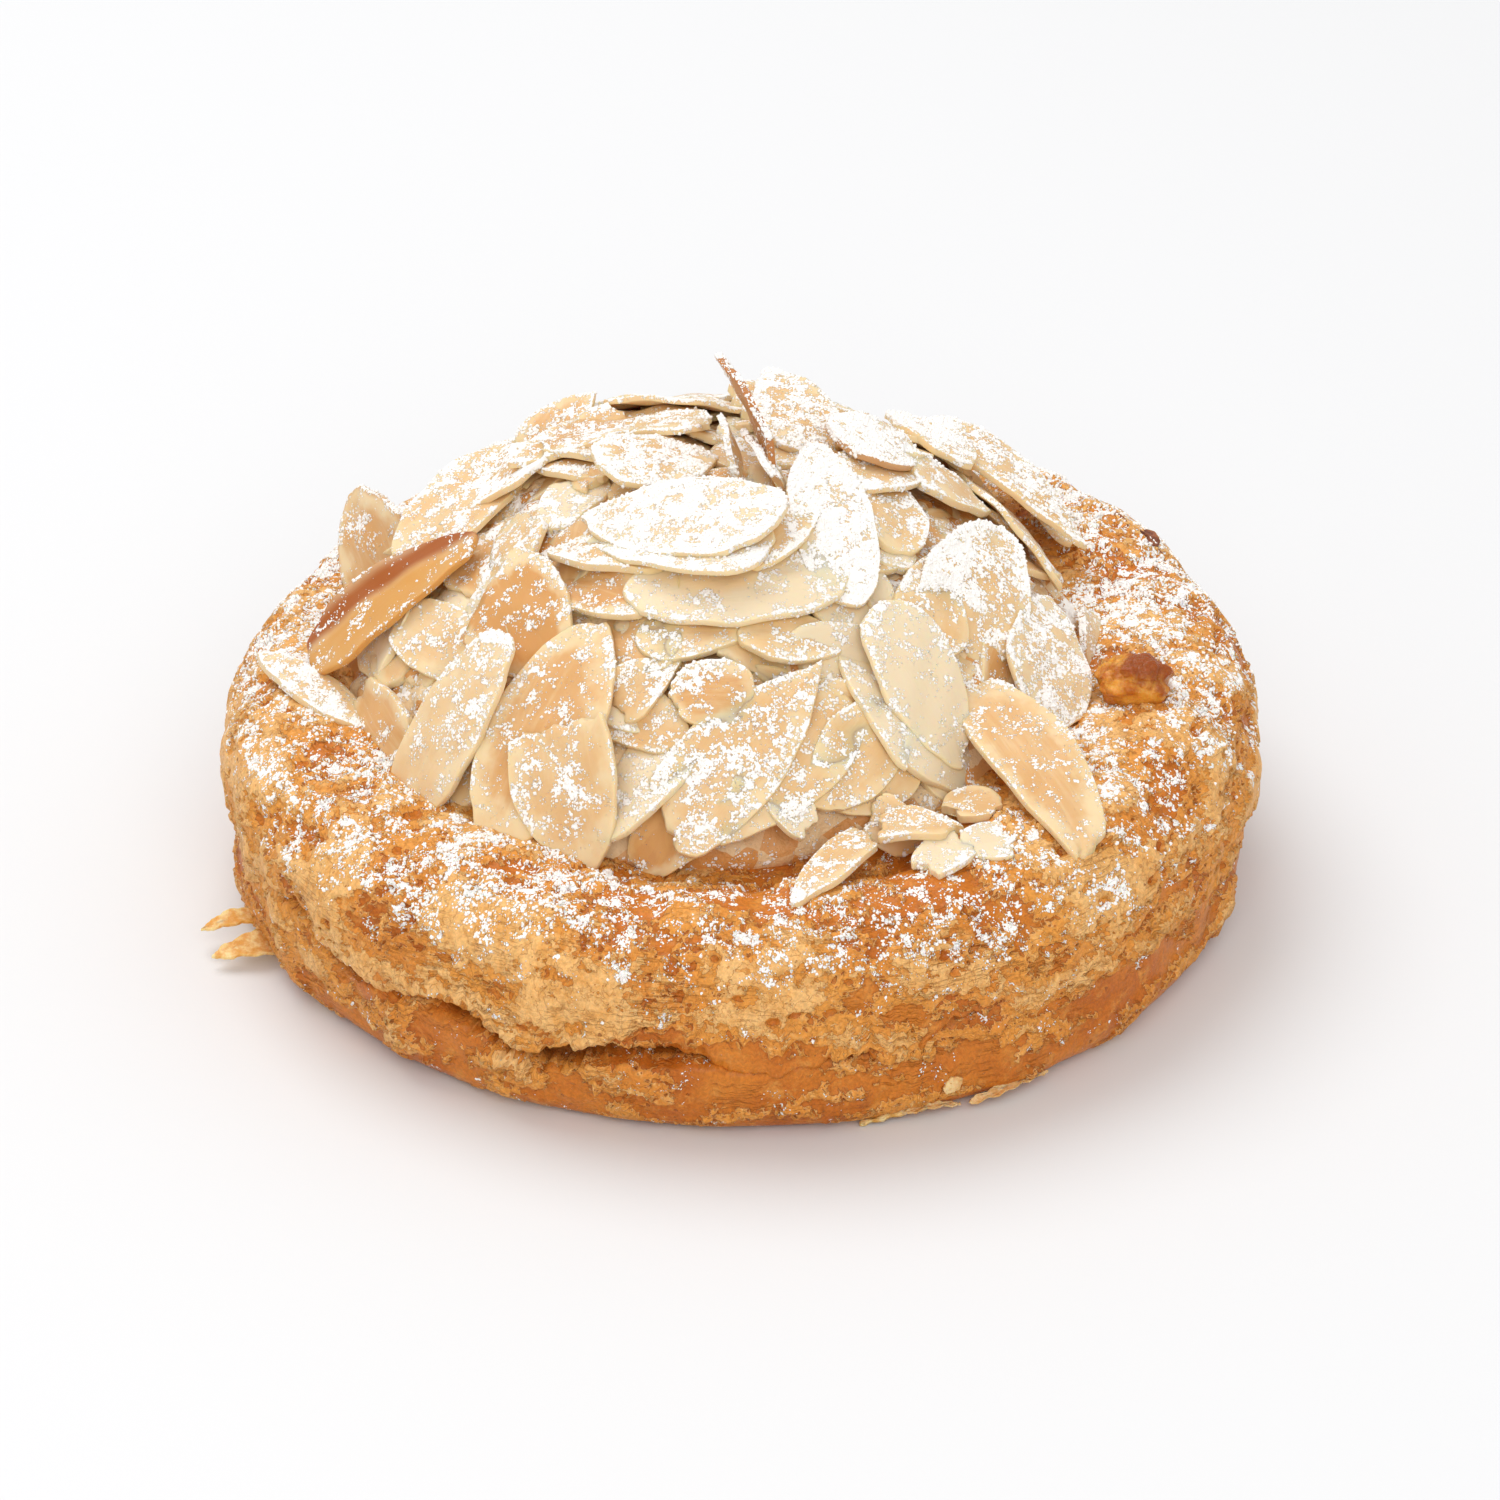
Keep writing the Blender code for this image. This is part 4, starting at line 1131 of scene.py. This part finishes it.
def crust_material():
    material, chain, shader = new_material("baked_crust")
    place = in_millimetres(chain, attribute(chain, "rest")["Vector"])
    value = layer_value(chain, place)
    first = chain.step(value, FIRST_LAYER, 0.006)
    second = chain.step(value, SECOND_LAYER, 0.006)
    grain = chain.noise(place, 0.36, 3.0, 0.7)
    speckle = chain.noise(place, 2.4, 5.0, 0.75)
    colour = layer_colours(chain, place, first, second, speckle)
    # Painted shade beside the torn edges, and a painted highlight along them.
    colour = torn_edge_shade_and_highlight(chain, value, first, second, colour)
    mottle = chain.ramp(grain, 0.32, 0.68, 0.83, 1.13)
    mottled = chain.put("ShaderNodeCombineXYZ", {0: mottle, 1: mottle, 2: mottle}).outputs[0]
    colour = chain.blend(1.0, colour, mottled, "MULTIPLY")
    crinkle = chain.ramp(chain.fold(chain.noise(place, 1.6, 3.0, 0.6)), 0.0, 0.022, 1.0, 0.0)
    crinkle = chain.times(crinkle, first)
    colour = chain.stain(colour, crinkle, 0.3, (0.5, 0.17, 0.03))
    pores = chain.ramp(chain.cells(place, 1.7)[0], 0.09, 0.15, 1.0, 0.0)
    pores = chain.times(pores, chain.ramp(chain.noise(place, 6.0), 0.48, 0.58))
    colour = chain.stain(colour, pores, 0.75, (0.3, 0.08, 0.015))
    # Painted shade: the crust inside the seam, under the lid's overhang, is darkened.
    colour = chain.stain(colour, painted_seam_shade(chain), 0.85, (0.3, 0.08, 0.008))
    strata = chain.noise(chain.stretch(place, (0.12, 0.12, 1.7)), 1.0, 3.0, 0.6)
    line = chain.ramp(chain.fold(strata), 0.0, 0.018, 1.0, 0.0)
    line = chain.times(line, chain.ramp(chain.noise(place, 5.0), 0.45, 0.6))
    colour = chain.stain(colour, line, 0.4, (0.34, 0.1, 0.015))
    sky = attribute(chain, "sky")["Fac"]
    sugar = powder(chain, place, crust_sugar(chain, place, sky, facing_up(chain)))
    gloss = chain.blend(first, (0.34, 0.34, 0.34), (0.5, 0.5, 0.5))
    gloss = chain.blend(sugar, gloss, (0.95, 0.95, 0.95))
    paint(chain, shader, chain.blend(sugar, colour, SUGAR), gloss, 0.2)
    soften(chain, shader, 0.12, (1.0, 0.45, 0.15), 1.0)
    heights = [(first, 0.2), (second, 0.16), (crinkle, -0.08), (grain, 0.06)]
    heights += [(speckle, 0.18), (pores, -0.2), (line, -0.12), (sugar, 0.25)]
    bump(chain, shader, chain.add(*(chain.times(pattern, height) for pattern, height in heights)))
    return material


def almond_material():
    material, chain, shader = new_material("sliced_almond")
    place = place_now(chain)
    leaf = attribute(chain, "leaf")["Vector"]
    sky = attribute(chain, "sky")["Fac"]
    _, across, out = chain.parts(leaf)
    marks = attribute(chain, "baked")
    middle, edge, half = chain.put("ShaderNodeSeparateColor", {0: marks["Color"]}).outputs
    cloud = chain.noise(place, 4.0, 3.0, 0.6)
    drift = chain.less(cloud, 0.5)
    streak = chain.noise(chain.stretch(leaf, (1.5, 9.0, 1.0)), 1.0, 3.0, 0.6)
    colour = chain.blend(chain.ramp(cloud, 0.35, 0.65), (0.785, 0.55, 0.285), (0.81, 0.63, 0.375))
    colour = chain.blend(chain.ramp(middle, 0.08, 0.3), (0.81, 0.67, 0.455), colour)
    inside = chain.ramp(chain.add(out, chain.times(drift, 0.7)), 0.55, 0.9, 1.0, 0.0)
    toast = chain.times(inside, middle, chain.ramp(streak, 0.3, 0.6, 0.7, 1.1))
    colour = chain.blend(toast, colour, (0.66, 0.335, 0.112))
    pale_rim = chain.ramp(chain.add(out, chain.times(drift, 0.1)), 0.9, 0.98)
    colour = chain.stain(colour, pale_rim, 0.5, (0.88, 0.71, 0.41))
    skin = chain.add(out, chain.times(drift, 0.12), chain.ramp(edge, 1.0, 2.0))
    rim = chain.times(chain.ramp(skin, 0.9, 1.0), edge)
    colour = chain.stain(colour, rim, 0.85, (0.5, 0.2, 0.055))
    # Painted warm shade and glow: the less open to the sky, under and between slices, the more golden
    # orange, for light bounced and passed through them.
    colour = chain.blend(chain.ramp(sky, 0.0, 0.45, 0.35, 0.0), colour, (0.92, 0.6, 0.22))
    upper = chain.times(half, chain.ramp(across, -0.1, 0.3), chain.ramp(across, 0.5, 0.9, 1.0, 0.45))
    colour = chain.blend(upper, colour, (0.38, 0.1, 0.013))
    lower = chain.times(half, chain.ramp(across, -0.1, 0.2, 1.0, 0.0))
    colour = chain.stain(colour, lower, 0.8, (0.64, 0.29, 0.048))
    density = almond_sugar(chain, place, sky, facing_up(chain), out, marks["Alpha"])
    sugar = powder(chain, place, density)
    roughness = chain.ramp(sugar, 0.0, 1.0, 0.42, 0.95)
    paint(chain, shader, chain.blend(sugar, colour, SUGAR), roughness, 0.3)
    soften(chain, shader, chain.ramp(sugar, 0.0, 1.0, 0.45, 0.05), (1.0, 0.65, 0.3), 0.6)
    heaps = chain.times(chain.noise(place, 1.7, 2.0, 0.5), 0.4)
    fluff = chain.times(chain.noise(place, 0.5, 3.0, 0.6), 0.3)
    coat = chain.times(sugar, chain.add(0.08, heaps, fluff))
    bump(chain, shader, chain.add(coat, chain.times(streak, 0.05)))
    return material


def bed_material():
    material, chain, shader = new_material("sugared_bed")
    place = place_now(chain)
    tone = chain.parts(chain.cells(place, 2.4)[1])[0]
    colour = chain.blend(chain.ramp(tone, 0.3, 0.75), (0.66, 0.3, 0.08), (0.82, 0.6, 0.34))
    sky = attribute(chain, "sky")["Fac"]
    sugar = powder(chain, place, sky_density(chain, place, sky, facing_up(chain), 1.0))
    colour = chain.blend(sugar, colour, SUGAR)
    paint(chain, shader, colour, chain.ramp(sugar, 0.0, 1.0, 0.5, 0.95))
    crumbs = chain.times(chain.noise(place, 0.6, 3.0, 0.6), 0.3)
    bump(chain, shader, chain.add(chain.times(sugar, 0.25), crumbs))
    return material


def caramel_material():
    """Burnt sugar, darkest on its high side at the right, with a thin clear coat."""
    material, chain, shader = new_material("burnt_sugar")
    place = place_now(chain)
    x, _, z = chain.parts(place)
    cloud = chain.noise(place, 2.2, 3.0, 0.6)
    high = chain.add(z, chain.times(chain.less(x, LUMP_CENTRE[0]), 0.45))
    dark = chain.ramp(chain.add(high, chain.times(chain.less(cloud, 0.5), 5.0)), 28.6, 31.0)
    colour = chain.blend(chain.ramp(cloud, 0.38, 0.62), (0.72, 0.32, 0.045), (0.5, 0.15, 0.011))
    paint(chain, shader, chain.blend(dark, colour, (0.3, 0.065, 0.005)), 0.28, 0.25)
    shader.inputs["Coat Weight"].default_value = 0.12
    shader.inputs["Coat Roughness"].default_value = 0.2
    soften(chain, shader, 0.4, (1.0, 0.3, 0.05), 1.5)
    bump(chain, shader, chain.times(chain.noise(place, 1.1, 3.0, 0.6), 0.6))
    return material


def scrap_material(name, dark, light):
    """A torn scrap of the crust's outer film, darker and lighter in streaks."""
    material, chain, shader = new_material(name)
    streaks = chain.noise(place_now(chain), 1.3, 4.0, 0.65)
    paint(chain, shader, chain.blend(chain.ramp(streaks, 0.35, 0.65), dark, light), 0.5, 0.25)
    soften(chain, shader, 0.4, (1.0, 0.6, 0.25), 1.0)
    bump(chain, shader, chain.times(streaks, 0.3))
    return material


def plain_material(name, colour, roughness, specular=0.5):
    material, chain, shader = new_material(name)
    paint(chain, shader, colour, roughness, specular)
    return material


# The set: floor, light and camera.


# The floor and the lamps are in metres: a lamp's name, place, size and power in watts.
FLOOR_SIZE = 6.0
FLOOR_GAP = 0.02
LAMP_TARGET = (0.0, 0.0, 0.03)
LAMPS = [
    ("top_light", (-0.3, 0.3, 0.9), 0.8, 4.6),
    ("front_light", (0.1, -0.95, 0.7), 0.9, 4.8),
]
SKY_LIGHT = 0.72


def make_floor():
    bpy.ops.mesh.primitive_plane_add(size=FLOOR_SIZE, location=(0.0, 0.0, -FLOOR_GAP * MM))
    floor = bpy.context.object
    floor.name = "floor"
    floor.data.materials.append(plain_material("pale_floor", (0.775, 0.776, 0.782), 0.7))
    floor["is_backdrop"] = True


def area_light(name, place, size, power):
    light = bpy.data.lights.new(name, "AREA")
    light.shape = "DISK"
    light.size = size
    light.energy = power
    lamp = bpy.data.objects.new(name, light)
    bpy.context.scene.collection.objects.link(lamp)
    away = Vector(place) - Vector(LAMP_TARGET)
    lamp.location = place
    lamp.rotation_euler = away.to_track_quat("Z", "Y").to_euler()


def make_light():
    world = bpy.data.worlds.new("studio")
    bpy.context.scene.world = world
    world.use_nodes = True
    background = world.node_tree.nodes["Background"]
    background.inputs["Color"].default_value = (1.0, 1.0, 1.0, 1.0)
    background.inputs["Strength"].default_value = SKY_LIGHT
    for lamp in LAMPS:
        area_light(*lamp)
    bpy.context.scene.view_settings.view_transform = "Standard"


# The camera, in metres and degrees.
CAMERA_DISTANCE = 0.55
CAMERA_ELEVATION = 30.0
CAMERA_TARGET = (0.001, 0.0, 0.014)
METRES_PER_PIXEL = 0.0001045
IMAGE_PIXELS = 1500
SENSOR = 36.0


def make_camera():
    elevation = math.radians(CAMERA_ELEVATION)
    back = Vector((0.0, -math.cos(elevation), math.sin(elevation)))
    camera = bpy.data.cameras.new("camera")
    camera.sensor_width = SENSOR
    camera.lens = SENSOR * CAMERA_DISTANCE / (METRES_PER_PIXEL * IMAGE_PIXELS)
    obj = bpy.data.objects.new("camera", camera)
    bpy.context.scene.collection.objects.link(obj)
    obj.location = Vector(CAMERA_TARGET) + back * CAMERA_DISTANCE
    obj.rotation_euler = (math.radians(90.0 - CAMERA_ELEVATION), 0.0, 0.0)
    bpy.context.scene.camera = obj


def fall_on_crust(chain, place, facing):
    return crust_sugar(chain, place, stored(chain, "sky"), facing)


def fall_on_almonds(chain, place, facing):
    out = chain.parts(stored(chain, "leaf", "FLOAT_VECTOR"))[2]
    marks = stored(chain, "baked", "FLOAT_COLOR")
    share = chain.put("FunctionNodeSeparateColor", {0: marks}).outputs[3]
    return almond_sugar(chain, place, stored(chain, "sky"), facing, out, share)


make_camera()
make_light()
make_floor()

lid = make_lid()
roughen(lid, LID_TEETH)
band = make_band()
roughen(band, BAND_TEETH)
underside = make_underside()
roughen(underside, 0.0)
bed = make_bed()
front_almonds = make_almonds("almonds_front", shown_almonds(), 11)
rear_almonds = make_almonds("almonds_back", back_almonds(), 12)
broken = make_almonds("almonds_broken", broken_almonds(), 13, BROKEN_MESH)
mark_sky([lid, band, underside, bed, front_almonds, rear_almonds, broken])
grains = [
    scatter_grains("sugar_on_crust", lid, fall_on_crust, 11e6, 31, (0.12, 0.3)),
    scatter_grains("sugar_on_almonds", front_almonds, fall_on_almonds, 8e6, 37, (0.11, 0.28)),
]

for kind, (name, dark, light) in SCRAP_TONES.items():
    finish_piece(make_scraps(name, kind), scrap_material(kind + "_film", dark, light))
finish_piece(make_lump(), caramel_material())
crust = crust_material()
for piece in (lid, band, underside):
    finish_piece(piece, crust)
finish_piece(bed, bed_material())
almond = almond_material()
for piece in (front_almonds, rear_almonds, broken):
    finish_piece(piece, almond)
sugar = plain_material("powdered_sugar", SUGAR, 0.9, 0.3)
for piece in grains:
    finish_piece(piece, sugar)
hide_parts("pastry")
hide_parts("almond_heap")

boxes = {"cad": cad_box, "visual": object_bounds()}
{name: [list(corner) for corner in box] for name, box in boxes.items()}
